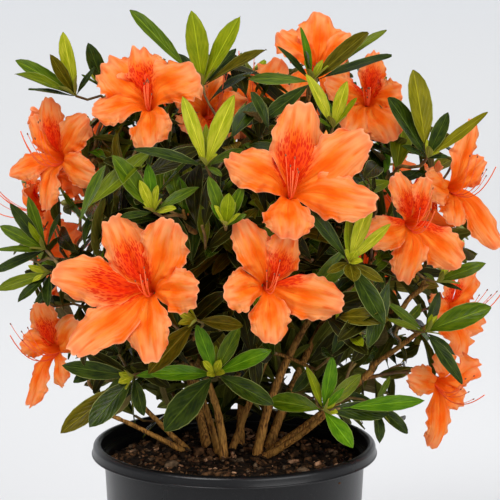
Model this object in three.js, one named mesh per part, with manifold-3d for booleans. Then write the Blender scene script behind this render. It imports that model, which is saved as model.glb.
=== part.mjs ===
// An azalea shrub in its round nursery pot: pot, potting mix, stems, and masses of foliage.
// Millimetres, +Z up. The origin is the centre of the pot's flat underside, and -Y is the
// side from which the shrub is usually seen.
import * as THREE from "three";
import { mergeVertices } from "three/addons/utils/BufferGeometryUtils.js";
import { ImprovedNoise } from "three/addons/math/ImprovedNoise.js";
import Module from "manifold-3d";

const wasm = await Module();
wasm.setup();

// ---------------------------------------------------------------- driving dimensions
const GAP = 0.3; // clearance between pieces that touch

const POT = {
  height: 160,
  rimRadius: 82.5, // outer edge of the rolled lip
  lipWidth: 4.7, // from the lip's outer edge in to the mouth
  lipHeight: 7,
  collarRadius: 75, // the upright band under the lip
  collarHeight: 20,
  shoulderRadius: 70.5, // where the tapered body begins
  footRadius: 62,
  wall: 1.8,
  floor: 3,
  sides: 26,
};
const SOIL = { edgeDrop: 12.5, crownDrop: 6, slopeRadius: 64, plateauRadius: 52 };
const SOIL_TOP = POT.height - SOIL.crownDrop;

// Stems: foot on the soil [x, y], compass heading in degrees from +X towards +Y, lean from
// upright at the foot, how much the lean changes by the tip, length, foot and tip radius.
const STEMS = {
  stem_front: { foot: [-6.4, -3], heading: 220, lean: 2, bend: 32, length: 62, radii: [2.9, 1.8] },
  stem_tall: { foot: [13.5, 4.5], heading: 350, lean: 10, bend: 26, length: 104, radii: [3.1, 1.7] },
  stem_centre_left: { foot: [-10, 9], heading: 205, lean: 14, bend: 14, length: 96, radii: [2.3, 1.6] },
  stem_centre: { foot: [-1, 17], heading: 12, lean: 20, bend: 4, length: 88, radii: [2.0, 1.3] },
  stem_low_front: { foot: [-33, 13], heading: 193, lean: 58, bend: 8, length: 64, radii: [1.8, 1.1] },
  stem_low_left: { foot: [-31, 21], heading: 178, lean: 46, bend: -4, length: 60, radii: [1.9, 1.3] },
  stem_low_right: { foot: [20.5, 0], heading: 332, lean: 58, bend: -14, length: 58, radii: [2.4, 1.6] },
  stem_right: { foot: [24, 14], heading: 348, lean: 53, bend: -8, length: 76, radii: [2.6, 1.9] },
  stem_back_left: { foot: [-17, 24], heading: 128, lean: 20, bend: 16, length: 100, radii: [2.6, 1.7] },
  stem_back: { foot: [3, 29], heading: 80, lean: 12, bend: 22, length: 92, radii: [2.5, 1.6] },
  stem_back_right: { foot: [21, 25], heading: 40, lean: 26, bend: 14, length: 104, radii: [2.7, 1.7] },
};
const STEM = { sides: 6, steps: 6, flare: 0.25, flareLength: 8, bury: 8 };

// Foliage: middle and half-sizes along X, Y, Z.
const MASSES = {
  foliage_top_left: { at: [-54, -8, 360], reach: [58, 54, 54] },
  foliage_top: { at: [44, 12, 364], reach: [52, 54, 52] },
  foliage_top_right: { at: [104, -4, 338], reach: [50, 56, 50] },
  foliage_left: { at: [-98, 0, 302], reach: [50, 58, 54] },
  foliage_low_left: { at: [-90, -8, 224], reach: [50, 54, 44] },
  foliage_front_left: { at: [-58, -72, 284], reach: [58, 56, 54] },
  foliage_front: { at: [10, -82, 318], reach: [58, 54, 52] },
  foliage_front_right: { at: [66, -66, 284], reach: [54, 56, 50] },
  foliage_right: { at: [114, -6, 284], reach: [40, 54, 40] },
  foliage_low_right: { at: [112, -4, 204], reach: [42, 48, 40] },
  foliage_low_front: { at: [-12, -42, 228], reach: [46, 42, 26] },
  foliage_low_shoot: { at: [64, -40, 206], reach: [44, 36, 28] },
  foliage_heart: { at: [6, 4, 286], reach: [64, 56, 48] },
  foliage_back: { at: [4, 86, 320], reach: [64, 56, 62] },
  foliage_back_left: { at: [-76, 72, 280], reach: [62, 60, 62] },
  foliage_back_right: { at: [80, 74, 278], reach: [62, 60, 62] },
  foliage_low_back: { at: [2, 96, 230], reach: [58, 46, 40] },
};
const LEAFY = { detail: 3, lumps: 1.7, unevenness: 0.32 };
const FAR = 600; // longer than the whole shrub, for cutting blocks

// ---------------------------------------------------------------- materials
const finish = (color, roughness) => new THREE.MeshStandardMaterial({ color, roughness, metalness: 0 });
const potPlastic = finish(0x232427, 0.42);
const pottingMix = finish(0x2e211a, 0.95);
const bark = finish(0x8a5a34, 0.8);
const foliage = finish(0x3c5a22, 0.55);

// ---------------------------------------------------------------- solids
const degrees = (angle) => THREE.MathUtils.degToRad(angle);

function toSolid(geometry) {
  const bare = geometry.clone();
  bare.deleteAttribute("normal");
  bare.deleteAttribute("uv");
  const merged = mergeVertices(bare, 1e-4);
  return new wasm.Manifold(
    new wasm.Mesh({
      numProp: 3,
      vertProperties: new Float32Array(merged.attributes.position.array),
      triVerts: new Uint32Array(merged.index.array),
    }),
  );
}

function toGeometry(solid) {
  const mesh = solid.getMesh();
  const geometry = new THREE.BufferGeometry();
  geometry.setAttribute("position", new THREE.BufferAttribute(mesh.vertProperties, 3));
  geometry.setIndex(new THREE.BufferAttribute(mesh.triVerts, 1));
  geometry.computeVertexNormals();
  return geometry;
}

function named(name, geometry, material) {
  const mesh = new THREE.Mesh(geometry, material);
  mesh.name = name;
  return mesh;
}

// A block whose near face passes through point and whose body lies along direction.
function blockBeyond(point, direction) {
  const block = new THREE.BoxGeometry(FAR, FAR, FAR);
  block.translate(0, 0, FAR / 2);
  const turn = new THREE.Quaternion().setFromUnitVectors(new THREE.Vector3(0, 0, 1), direction);
  block.applyQuaternion(turn);
  block.translate(...point.toArray());
  return toSolid(block);
}

// ---------------------------------------------------------------- pot and potting mix
// Radius of the wall's outer face at a height, below the collar.
function bodyRadius(z) {
  const shoulder = POT.height - POT.lipHeight - POT.collarHeight - 4;
  return THREE.MathUtils.mapLinear(z, 0, shoulder, POT.footRadius, POT.shoulderRadius);
}

function makePot() {
  const { height, rimRadius, lipWidth, lipHeight, collarRadius, wall, floor } = POT;
  const lipFoot = height - lipHeight;
  const collarFoot = lipFoot - POT.collarHeight;
  const shoulder = collarFoot - 4;
  const mouth = rimRadius - lipWidth;
  const profile = [
    [0, 0],
    [POT.footRadius, 0],
    [POT.shoulderRadius, shoulder],
    [collarRadius - 1.4, collarFoot + 3],
    [collarRadius, lipFoot],
    [rimRadius + 0.9, lipFoot],
    [rimRadius + 0.9, lipFoot + 1.4],
    [rimRadius, lipFoot + 2.4],
    [rimRadius - 0.8, height],
    [mouth, height],
    [mouth - 0.4, lipFoot + 0.4],
    [collarRadius - wall, lipFoot - 1.6],
    [collarRadius - 1.4 - wall, collarFoot + 3],
    [POT.shoulderRadius - wall, shoulder],
    [bodyRadius(floor) - wall, floor],
    [0, floor],
  ].map(([radius, z]) => new THREE.Vector2(radius, z));
  return toGeometry(toSolid(new THREE.LatheGeometry(profile, POT.sides).rotateX(Math.PI / 2)));
}

function makeSoil() {
  const inner = (radius) => radius - POT.wall - GAP;
  const lipFoot = POT.height - POT.lipHeight;
  const collarFoot = lipFoot - POT.collarHeight;
  const edge = POT.height - SOIL.edgeDrop;
  const low = POT.floor + GAP;
  const profile = [
    [0, low],
    [inner(bodyRadius(low)), low],
    [inner(POT.shoulderRadius), collarFoot - 4],
    [inner(POT.collarRadius - 1.4), collarFoot + 3],
    [inner(POT.collarRadius) - 0.6, edge],
    [SOIL.slopeRadius, edge + 3.2],
    [SOIL.plateauRadius, SOIL_TOP],
    [0, SOIL_TOP],
  ].map(([radius, z]) => new THREE.Vector2(radius, z));
  return new THREE.LatheGeometry(profile, POT.sides).rotateX(Math.PI / 2);
}

// ---------------------------------------------------------------- stems
// The stem's middle line: it leaves the foot at its lean and turns steadily to the tip.
function stemPoint(stem, along) {
  const heading = degrees(stem.heading);
  const lean0 = degrees(stem.lean);
  const turn = degrees(stem.bend) / stem.length;
  const out = Math.abs(turn) < 1e-6
    ? Math.sin(lean0) * along
    : (Math.cos(lean0) - Math.cos(lean0 + turn * along)) / turn;
  const up = Math.abs(turn) < 1e-6
    ? Math.cos(lean0) * along
    : (Math.sin(lean0 + turn * along) - Math.sin(lean0)) / turn;
  return new THREE.Vector3(
    stem.foot[0] + out * Math.cos(heading),
    stem.foot[1] + out * Math.sin(heading),
    SOIL_TOP + up,
  );
}

// A tapering round limb with a slight flare at the soil, bent along its middle line and
// grown all round by swell.
function makeStem(stem, swell = 0) {
  const whole = stem.length + STEM.bury;
  const limb = new THREE.CylinderGeometry(1, 1, whole, STEM.sides, STEM.steps);
  const heading = degrees(stem.heading);
  const sideways = new THREE.Vector3(-Math.sin(heading), Math.cos(heading), 0);
  const position = limb.attributes.position;
  for (let i = 0; i < position.count; i += 1) {
    const along = position.getY(i) + whole / 2 - STEM.bury;
    const share = Math.max(0, along) / stem.length;
    const taper = THREE.MathUtils.lerp(stem.radii[0], stem.radii[1], share);
    const flare = 1 + STEM.flare * Math.exp(-Math.max(0, along) / STEM.flareLength);
    const radius = taper * flare + swell;
    const lean = degrees(stem.lean + stem.bend * (along / stem.length));
    const across = new THREE.Vector3(
      Math.cos(heading) * Math.cos(lean),
      Math.sin(heading) * Math.cos(lean),
      -Math.sin(lean),
    );
    const point = stemPoint(stem, along)
      .addScaledVector(across, position.getX(i) * radius)
      .addScaledVector(sideways, -position.getZ(i) * radius);
    position.setXYZ(i, ...point.toArray());
  }
  return toSolid(limb);
}

// The piece of a cut solid that stands on the soil.
function lowestPiece(solid) {
  const foot = (piece) => piece.boundingBox().min[2];
  return solid.decompose().reduce((low, piece) => (foot(piece) < foot(low) ? piece : low));
}

// ---------------------------------------------------------------- foliage
// An uneven closed lump: an ellipsoid pushed in and out by smooth noise, and grown by swell.
function makeLump({ at, reach }, index, swell = 0) {
  const lump = new THREE.IcosahedronGeometry(1, LEAFY.detail);
  const noise = new ImprovedNoise();
  const position = lump.attributes.position;
  const direction = new THREE.Vector3();
  for (let i = 0; i < position.count; i += 1) {
    direction.fromBufferAttribute(position, i).normalize();
    const place = direction.clone().multiplyScalar(LEAFY.lumps);
    const push = 1 + LEAFY.unevenness * noise.noise(place.x + 7 * index, place.y + 3, place.z + 5);
    position.setXYZ(
      i,
      at[0] + direction.x * (reach[0] * push + swell),
      at[1] + direction.y * (reach[1] * push + swell),
      at[2] + direction.z * (reach[2] * push + swell),
    );
  }
  return toSolid(lump);
}

// Half-size of a mass along a direction.
function spanAlong({ reach }, direction) {
  return Math.hypot(reach[0] * direction.x, reach[1] * direction.y, reach[2] * direction.z);
}

// Each mass is cut from its neighbour on the flat where their two surfaces would meet.
function makeMasses() {
  const entries = Object.entries(MASSES);
  return entries.map(([name, mass], index) => {
    let solid = makeLump(mass, index);
    const middle = new THREE.Vector3(...mass.at);
    for (const [otherName, other] of entries) {
      if (otherName === name) continue;
      const across = new THREE.Vector3(...other.at).sub(middle);
      const distance = across.length();
      const direction = across.normalize();
      const own = spanAlong(mass, direction);
      const theirs = spanAlong(other, direction);
      if (distance > (own + theirs) * (1 + LEAFY.unevenness)) continue;
      const share = (distance * own) / (own + theirs) - GAP / 2;
      const meeting = middle.clone().addScaledVector(direction, share);
      solid = solid.subtract(blockBeyond(meeting, direction));
    }
    return [name, solid];
  });
}

// ---------------------------------------------------------------- the shrub
const shrub = new THREE.Group();
shrub.add(named("pot", makePot(), potPlastic));
shrub.add(named("soil", makeSoil(), pottingMix));

for (const [name, solid] of makeMasses()) {
  shrub.add(named(name, toGeometry(solid), foliage));
}

// A stem stands on the soil with a flat foot, and it ends where it enters the first mass on
// its way. Where two stems cross, the later one is cut round the earlier one.
const ground = blockBeyond(new THREE.Vector3(0, 0, SOIL_TOP + GAP), new THREE.Vector3(0, 0, -1));
const cutters = Object.values(MASSES).map((mass, index) => makeLump(mass, index, GAP));
for (const [name, stem] of Object.entries(STEMS)) {
  let solid = makeStem(stem).subtract(ground);
  for (const cutter of cutters) {
    solid = solid.subtract(cutter);
  }
  cutters.push(makeStem(stem, GAP));
  shrub.add(named(name, toGeometry(lowestPiece(solid)), bark));
}

export default shrub;
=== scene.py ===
# %% [markdown]
# # A flowering azalea in its nursery pot
# This lesson dresses a plain, measured model of a potted azalea: a smooth moulded pot, damp
# bark mix, barked stems, and a crown of leafy shoots and ruffled orange flowers. The measured
# model is loaded first and never moved. Everything after it is in metres, in the same frame:
# +Z up, the origin under the middle of the pot, and -Y towards the viewer.

# %% Load the measured frame
from math import atan2, cos, exp, hypot, pi, radians, sin, sqrt

import bmesh
import bpy
import numpy as np
from mathutils import Matrix, Vector, noise


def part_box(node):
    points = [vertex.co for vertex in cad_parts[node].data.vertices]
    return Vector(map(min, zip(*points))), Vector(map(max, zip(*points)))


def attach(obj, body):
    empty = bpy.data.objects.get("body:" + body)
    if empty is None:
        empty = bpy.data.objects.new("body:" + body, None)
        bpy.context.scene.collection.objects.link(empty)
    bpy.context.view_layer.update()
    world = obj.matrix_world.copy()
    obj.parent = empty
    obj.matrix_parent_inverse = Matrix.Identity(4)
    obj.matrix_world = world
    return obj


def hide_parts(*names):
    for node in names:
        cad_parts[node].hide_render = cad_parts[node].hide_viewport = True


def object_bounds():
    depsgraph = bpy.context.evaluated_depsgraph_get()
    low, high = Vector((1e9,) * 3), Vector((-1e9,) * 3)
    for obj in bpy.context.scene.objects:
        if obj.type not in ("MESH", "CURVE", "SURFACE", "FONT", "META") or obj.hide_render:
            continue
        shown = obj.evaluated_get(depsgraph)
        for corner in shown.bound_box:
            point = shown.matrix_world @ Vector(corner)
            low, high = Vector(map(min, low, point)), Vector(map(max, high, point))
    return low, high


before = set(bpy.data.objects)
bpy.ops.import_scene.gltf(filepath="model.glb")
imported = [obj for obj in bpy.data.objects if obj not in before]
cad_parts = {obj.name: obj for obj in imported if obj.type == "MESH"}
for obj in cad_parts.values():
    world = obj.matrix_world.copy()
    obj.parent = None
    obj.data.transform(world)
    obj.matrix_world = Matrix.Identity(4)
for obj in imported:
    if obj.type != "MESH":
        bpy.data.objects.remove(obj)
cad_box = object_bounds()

MM = 0.001
UP = Vector((0, 0, 1))
ROUND = 2 * pi
print("nodes in the frame:", len(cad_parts))

# %% [markdown]
# ## Eye and studio
# A long lens far from the plant keeps its proportions calm. The eye is 1.2 m in front of the
# pot's axis, a little over the crown, and looks slightly down, so the pot's mouth shows as a
# flat ellipse. The camera comes first, because the best seen flowers and shoots are placed by
# where they lie in its picture. The backdrop is one sheet that sweeps up from floor to wall.

# %% Camera
PICTURE = 500  # width and height of the picture, in pixels
EYE = Vector((9.1, -1200, 465.9)) * MM
EYE_PITCH = radians(9.03)
LENS_MM = 151.7
SENSOR_MM = 36.0
FOCAL = LENS_MM / SENSOR_MM * PICTURE
AHEAD = Vector((0, cos(EYE_PITCH), -sin(EYE_PITCH)))
OVERHEAD = Vector((0, sin(EYE_PITCH), cos(EYE_PITCH)))


def put(name, data):
    """A new object in the scene that shows the data."""
    item = bpy.data.objects.new(name, data)
    bpy.context.scene.collection.objects.link(item)
    return item


camera_data = bpy.data.cameras.new("eye")
camera_data.lens = LENS_MM
camera_data.sensor_width = SENSOR_MM
camera = put("eye", camera_data)
camera.location = EYE
camera.rotation_euler = (pi / 2 - EYE_PITCH, 0, 0)
bpy.context.scene.camera = camera


def seen_at(across, down, y):
    """The place on the upright plane at y (mm) that the picture shows at (across, down)."""
    middle = PICTURE / 2
    ray = AHEAD * FOCAL + Vector((1, 0, 0)) * (across - middle) + OVERHEAD * (middle - down)
    return EYE + ray * ((y * MM - EYE.y) / ray.y)


def in_picture(place):
    """Where a place falls in the picture: across and down, in pixels."""
    offset = Vector(place) - EYE
    depth = offset.dot(AHEAD)
    across, up = FOCAL * offset.x / depth, FOCAL * offset.dot(OVERHEAD) / depth
    return PICTURE / 2 + across, PICTURE / 2 - up


print("middle of the picture on the axis plane:", [round(c, 3) for c in seen_at(250, 250, 0)])

# %% [markdown]
# ## Shader helpers
# Every finish here is a small node tree. A wire is what comes out of a node. It reckons like a
# number, because each sum or product of it adds a node, and that keeps the patterns readable.
# Patterns read either object coordinates, or a map that follows the leaf or petal itself.
# Colours are (red, green, blue), in linear light.

# %% Shader helpers
class Wire:
    """What comes out of a node; each sum, product or power of it adds a node."""

    def __init__(self, socket):
        self.socket = socket

    def calc(self, operation, other=0.0):
        return add_node("Math", {0: self, 1: other}, operation=operation)

    def __add__(self, other):
        return self.calc("ADD", other)

    def __sub__(self, other):
        return self.calc("SUBTRACT", other)

    def __rsub__(self, other):
        return add_node("Math", {0: other, 1: self}, operation="SUBTRACT")

    def __mul__(self, other):
        return self.calc("MULTIPLY", other)

    def __pow__(self, other):
        return self.calc("POWER", other)

    def __abs__(self):
        return self.calc("ABSOLUTE")

    def or_more(self, other):
        return self.calc("MAXIMUM", other)


def feed(node, inputs):
    """Gives a node's inputs their wires, colours and numbers."""
    for key, value in inputs.items():
        socket = node.inputs[key]
        if isinstance(value, Wire):
            node.id_data.links.new(value.socket, socket)
        else:
            socket.default_value = (*value, 1.0) if socket.type == "RGBA" else value


def add_node(kind, inputs, output=0, **settings):
    """Adds a node beside the wires that feed it, and gives one of its outputs."""
    tree = next(value.socket.id_data for value in inputs.values() if isinstance(value, Wire))
    node = tree.nodes.new("ShaderNode" + kind)
    for key, value in settings.items():
        setattr(node, key, value)
    feed(node, inputs)
    return Wire(node.outputs[output])


def fade(value, start, end):
    """0 below start, 1 above end, and smooth between."""
    return add_node("MapRange", {0: value, 1: start, 2: end}, interpolation_type="SMOOTHSTEP")


def blend(share, first, second):
    """A colour between two colours."""
    return add_node("Mix", {0: share, 6: first, 7: second}, output=2, data_type="RGBA")


def new_finish(name, roughness, reflection=0.5):
    material = bpy.data.materials.new(name)
    material.use_nodes = True
    shader = material.node_tree.nodes["Principled BSDF"]
    feed(shader, {"Roughness": roughness, "Specular IOR Level": reflection})
    return material, shader


def own_coordinates(shader, *scale):
    """Object coordinates, stretched by three scales."""
    place = shader.id_data.nodes.new("ShaderNodeTexCoord").outputs["Object"]
    return add_node("Mapping", {"Vector": Wire(place), "Scale": scale})


def surface_map(shader, name):
    """Along and across of the map that follows a leaf or petal, each from 0 to 1."""
    flat = shader.id_data.nodes.new("ShaderNodeUVMap")
    flat.uv_map = name
    split = shader.id_data.nodes.new("ShaderNodeSeparateXYZ")
    feed(split, {0: Wire(flat.outputs[0])})
    return Wire(split.outputs[0]), Wire(split.outputs[1])


def cloudy(where, detail=3.0, scale=1.0):
    """Soft noise; more detail gives it finer grain."""
    return add_node("TexNoise", {"Vector": where, "Scale": scale, "Detail": detail})


def raise_relief(shader, height, distance, strength=0.6):
    inputs = {"Height": height, "Distance": distance, "Strength": strength}
    feed(shader, {"Normal": add_node("Bump", inputs)})


# %% [markdown]
# ## Mesh helpers
# A finished piece keeps its object at the origin and its place in its mesh. Thin natural things
# such as leaves come as two sheets welded at their margins. Hundreds of copies of such a small
# template are joined from arrays of points, which is far quicker than adding objects one by one.

# %% Mesh helpers
SHARP = 75  # degrees between two faces from which their edge stays crisp
CELLS = 4  # the bake map is CELLS by CELLS squares, one for each finish
CELL_MARGIN = 0.04  # share of its square that a finish leaves free at each side


def show_piece(name, mesh, replaced, finish=None):
    """Links a mesh as a piece of the object that stands for the replaced nodes."""
    piece = put(name, mesh)
    if finish:
        mesh.materials.append(finish)
    mesh.polygons.foreach_set("use_smooth", np.ones(len(mesh.polygons), dtype=bool))
    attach(piece, "root")
    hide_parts(*replaced)
    print(name, "triangles:", sum(len(face.vertices) - 2 for face in mesh.polygons))


def mesh_from(shape, name):
    """A mesh made from a bmesh, which is then freed."""
    mesh = bpy.data.meshes.new(name)
    shape.to_mesh(mesh)
    shape.free()
    return mesh


def finished_mesh(holder, name):
    """The mesh that an object's cuts or curve settings give; the object is then removed."""
    ready = holder.evaluated_get(bpy.context.evaluated_depsgraph_get())
    mesh = bpy.data.meshes.new_from_object(ready)
    mesh.name = name
    mesh.materials.clear()
    bpy.data.objects.remove(holder)
    return mesh


def spun(profile, steps):
    """A closed solid of revolution from a profile of (radius, height) in mm."""
    shape = bmesh.new()
    ring = [shape.verts.new((radius * MM, 0, height * MM)) for radius, height in profile]
    edges = [shape.edges.new(pair) for pair in zip(ring, ring[1:])]
    bmesh.ops.spin(
        shape, geom=ring + edges, cent=(0, 0, 0), axis=(0, 0, 1),
        angle=ROUND, steps=steps, use_merge=True,
    )
    bmesh.ops.remove_doubles(shape, verts=shape.verts, dist=1e-6)
    bmesh.ops.recalc_face_normals(shape, faces=shape.faces)
    return shape


class Template:
    """A small closed shape as arrays: its points, and its faces as one run of corners."""

    def __init__(self, shape):
        shape.verts.index_update()
        self.points = np.array([vert.co[:] for vert in shape.verts])
        self.corners = np.array([vert.index for face in shape.faces for vert in face.verts])
        self.sizes = np.array([len(face.verts) for face in shape.faces])
        self.under = np.array([face.material_index for face in shape.faces])
        shape.free()


def sheet_pair(rows, columns, from_share, to_share):
    """Two grids welded at their margins, with how far along, how far across and which side."""
    shape = bmesh.new()
    bmesh.ops.create_grid(shape, x_segments=rows, y_segments=columns, size=0.5)
    for vert in shape.verts:
        at_margin = abs(vert.co.x) > 0.499 or abs(vert.co.y) > 0.499
        vert.co.z = 0.0 if at_margin else 1.0
    under = bmesh.ops.duplicate(shape, geom=shape.verts[:] + shape.edges[:] + shape.faces[:])["geom"]
    faces = [part for part in under if isinstance(part, bmesh.types.BMFace)]
    for part in under:
        if isinstance(part, bmesh.types.BMVert):
            part.co.z *= -1
    for face in faces:
        face.material_index = 1
    bmesh.ops.reverse_faces(shape, faces=faces)
    bmesh.ops.remove_doubles(shape, verts=shape.verts, dist=1e-4)
    sheet = Template(shape)
    sheet.along = np.interp(sheet.points[:, 0] + 0.5, from_share, to_share)
    sheet.across = sheet.points[:, 1] * 2
    sheet.side = sheet.points[:, 2]
    sheet.flat = np.stack([sheet.along, sheet.across / 2 + 0.5], axis=1)[sheet.corners]
    return sheet


# %% Joined copies
def joined(name, template, copies, finishes, finish_of_face, maps):
    """One mesh of many copies of a template; copies is an array of points for each copy."""
    count, points = copies.shape[0], copies.shape[1]
    corners = (template.corners[None, :] + points * np.arange(count)[:, None]).ravel()
    sizes = np.tile(template.sizes, count)
    starts = np.concatenate([[0], np.cumsum(sizes)[:-1]])
    mesh = bpy.data.meshes.new(name)
    mesh.vertices.add(count * points)
    mesh.vertices.foreach_set("co", copies.reshape(-1).astype(np.float32))
    mesh.loops.add(len(corners))
    mesh.loops.foreach_set("vertex_index", corners.astype(np.int32))
    mesh.polygons.add(len(sizes))
    mesh.polygons.foreach_set("loop_start", starts.astype(np.int32))
    mesh.polygons.foreach_set("material_index", finish_of_face.astype(np.int32))
    for finish in finishes:
        mesh.materials.append(finish)
    for map_name, values in maps.items():
        layer = mesh.uv_layers.new(name=map_name)
        layer.data.foreach_set("uv", values.reshape(-1).astype(np.float32))
    mesh.update(calc_edges=True)
    mesh.set_sharp_from_angle(angle=radians(SHARP))
    return mesh


def joined_sheets(name, sheet, copies, finishes, upper, lower, flat, map_name):
    """Joined copies of a pair of sheets, with upper and lower finishes for each copy."""
    finish = np.where(sheet.under[None, :] == 0, upper[:, None], lower[:, None]).ravel()
    flat = flat.reshape(-1, 2)
    cell = np.repeat(finish, np.tile(sheet.sizes, len(copies)))
    corner = np.stack([cell % CELLS, cell // CELLS], axis=1)
    stacked = (corner + CELL_MARGIN + (1 - 2 * CELL_MARGIN) * flat) / CELLS
    return joined(name, sheet, copies, finishes, finish, {map_name: flat, "OFBake": stacked})


# %% [markdown]
# ## Studio
# Pale sweep, darker away from the plant by painted shade, and soft light: a large lamp high on
# the viewer's left, a weaker one on the right, and a bright surround so that nothing falls to
# black.

# %% Studio
# The paper's tone in the middle; then from and to how far, in m, it turns to a darker one: a
# painted shade for light that falls off away from the plant.
PAPER = (0.690, 0.692, 0.700)
PAPER_PAINTED_SHADE = ((0.2, 2.2, (0.595, 0.600, 0.606)), (2.2, 12.0, (0.530, 0.540, 0.556)))


def make_sweep():
    """Floor and wall in one sheet, joined by a quarter round."""
    near, far, bend, top, half, steps = -12.0, 15.0, 2.0, 7.0, 16.0, 12
    turns = [radians(90 * step / steps) for step in range(steps + 1)]
    path = [(near, 0.0)]
    path += [(far - bend * (1 - sin(turn)), bend * (1 - cos(turn))) for turn in turns]
    path.append((far, top))
    shape = bmesh.new()
    line = [shape.verts.new((-half, y, z)) for y, z in path]
    edges = [shape.edges.new(pair) for pair in zip(line, line[1:])]
    grown = bmesh.ops.extrude_edge_only(shape, edges=edges)["geom"]
    moved = [part for part in grown if isinstance(part, bmesh.types.BMVert)]
    bmesh.ops.translate(shape, verts=moved, vec=(2 * half, 0, 0))
    sweep = put("sweep", mesh_from(shape, "sweep"))
    paper, shader = new_finish("studio_paper", 0.9)
    # Painted shade: the paper grows darker with distance from the plant.
    away = add_node("VectorMath", {0: own_coordinates(shader, 1, 1, 1)}, 1, operation="LENGTH")
    tone = PAPER
    for start, end, farther in PAPER_PAINTED_SHADE:
        tone = blend(fade(away, start, end), tone, farther)
    feed(shader, {"Base Color": tone})
    sweep.data.materials.append(paper)


def add_lamp(name, direction, strength, softness):
    """A far lamp shining along a direction; softness is how wide it is seen, in degrees."""
    lamp_data = bpy.data.lights.new(name, "SUN")
    lamp_data.energy = strength
    lamp_data.angle = radians(softness)
    lamp = put(name, lamp_data)
    lamp.location = -Vector(direction)
    lamp.rotation_euler = Vector(direction).to_track_quat("-Z", "Y").to_euler()


make_sweep()
add_lamp("key", (0.50, 0.80, -0.90), 2.3, 32)
add_lamp("fill", (-0.70, 0.85, -0.30), 2.3, 50)
add_lamp("top", (-0.1, -0.35, -1.0), 0.6, 40)
surround = bpy.data.worlds.new("surround")
surround.use_nodes = True
feed(surround.node_tree.nodes["Background"], {"Color": (0.95, 0.965, 1.0), "Strength": 0.42})
bpy.context.scene.world = surround
bpy.context.scene.view_settings.view_transform = "Standard"

# %% [markdown]
# ## Pot
# A nursery pot is blown or pressed from black polypropylene: one thin wall with a rolled lip, an
# upright collar that lets pots stack, a shoulder and a slow taper, and drain holes round the
# foot. A profile spun round the axis gives the wall; the round of the lip is a run of arcs. The
# holes are cut afterwards with a boolean, as a punch would.

# %% Pot
POT_HEIGHT = 162.3
RIM_RADIUS = 82.5
LIP_WIDTH = 4.7
LIP_HEIGHT = 7.0
COLLAR_RADIUS = 76.2
COLLAR_HEIGHT = 29.5
SHOULDER_RADIUS = 70.5
FOOT_RADIUS = 62.0
WALL = 1.8
LIP_FOOT = POT_HEIGHT - LIP_HEIGHT
COLLAR_FOOT = LIP_FOOT - COLLAR_HEIGHT
SHOULDER = COLLAR_FOOT - 4.0
LIP_ROUND, MOUTH_ROUND, HEM_ROUND, FOOT_ROUND = 2.35, 1.6, 0.7, 2.0
POT_FLOOR = 3.0
POT_STEPS, POT_SHARP = 160, 38  # steps round it, and degrees from which an edge is crisp
HOLE_RADIUS, HOLE_FOOT, HOLES = 6.0, 4.0, 6


def arc(centre, radius, start, end, steps):
    """Points on a round, as (radius, height), from one angle to another in degrees."""
    angles = [radians(start + (end - start) * i / steps) for i in range(steps + 1)]
    return [(centre[0] + radius * cos(a), centre[1] + radius * sin(a)) for a in angles]


def pot_profile():
    """The wall in section, from under the floor, out and up over the lip, and back inside."""
    mouth = RIM_RADIUS - LIP_WIDTH
    collar = [(COLLAR_RADIUS - 2.6, COLLAR_FOOT), (COLLAR_RADIUS - 1.5, COLLAR_FOOT + 3)]
    outside = [(0, 0), *arc((FOOT_RADIUS - FOOT_ROUND, FOOT_ROUND), FOOT_ROUND, -90, -4, 4)]
    outside += [(SHOULDER_RADIUS - 0.3, SHOULDER - 4), (SHOULDER_RADIUS, SHOULDER), *collar]
    outside += [(COLLAR_RADIUS - 0.2, LIP_FOOT - 0.6), (COLLAR_RADIUS, LIP_FOOT + 0.2)]
    hem = arc((RIM_RADIUS + 0.2, LIP_FOOT + 0.9), HEM_ROUND, -90, 70, 5)
    lip = arc((RIM_RADIUS - LIP_ROUND, POT_HEIGHT - LIP_ROUND), LIP_ROUND, -10, 90, 7)
    inner = arc((mouth + MOUTH_ROUND, POT_HEIGHT - MOUTH_ROUND), MOUTH_ROUND, 90, 180, 5)
    inside = [(mouth - 0.3, LIP_FOOT + 0.6), (COLLAR_RADIUS - WALL, LIP_FOOT - 1.8)]
    inside += [(radius - WALL, height) for radius, height in reversed(collar)]
    inside += [(SHOULDER_RADIUS - WALL, SHOULDER), (FOOT_RADIUS + 0.2 - WALL, POT_FLOOR), (0, POT_FLOOR)]
    return outside + hem + lip + inner + inside


print("points in the pot's section:", len(pot_profile()))


# %% Pot plastic, and the pot
def black_plastic():
    finish, shader = new_finish("black_plastic", 0.4, 0.28)
    flow = cloudy(own_coordinates(shader, 60, 60, 9))
    dust = fade(cloudy(own_coordinates(shader, 900, 900, 900), 2.0), 0.62, 0.74) * 0.2
    tone = blend(flow, (0.0020, 0.0020, 0.0026), (0.0045, 0.0045, 0.0052))
    tone = blend(dust, tone, (0.07, 0.068, 0.066))
    sheen = add_node("MapRange", {0: flow, 3: 0.24, 4: 0.34})
    feed(shader, {"Base Color": tone, "Roughness": sheen})
    raise_relief(shader, cloudy(own_coordinates(shader, 1500, 1500, 1500)), 0.00008)
    return finish


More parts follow.
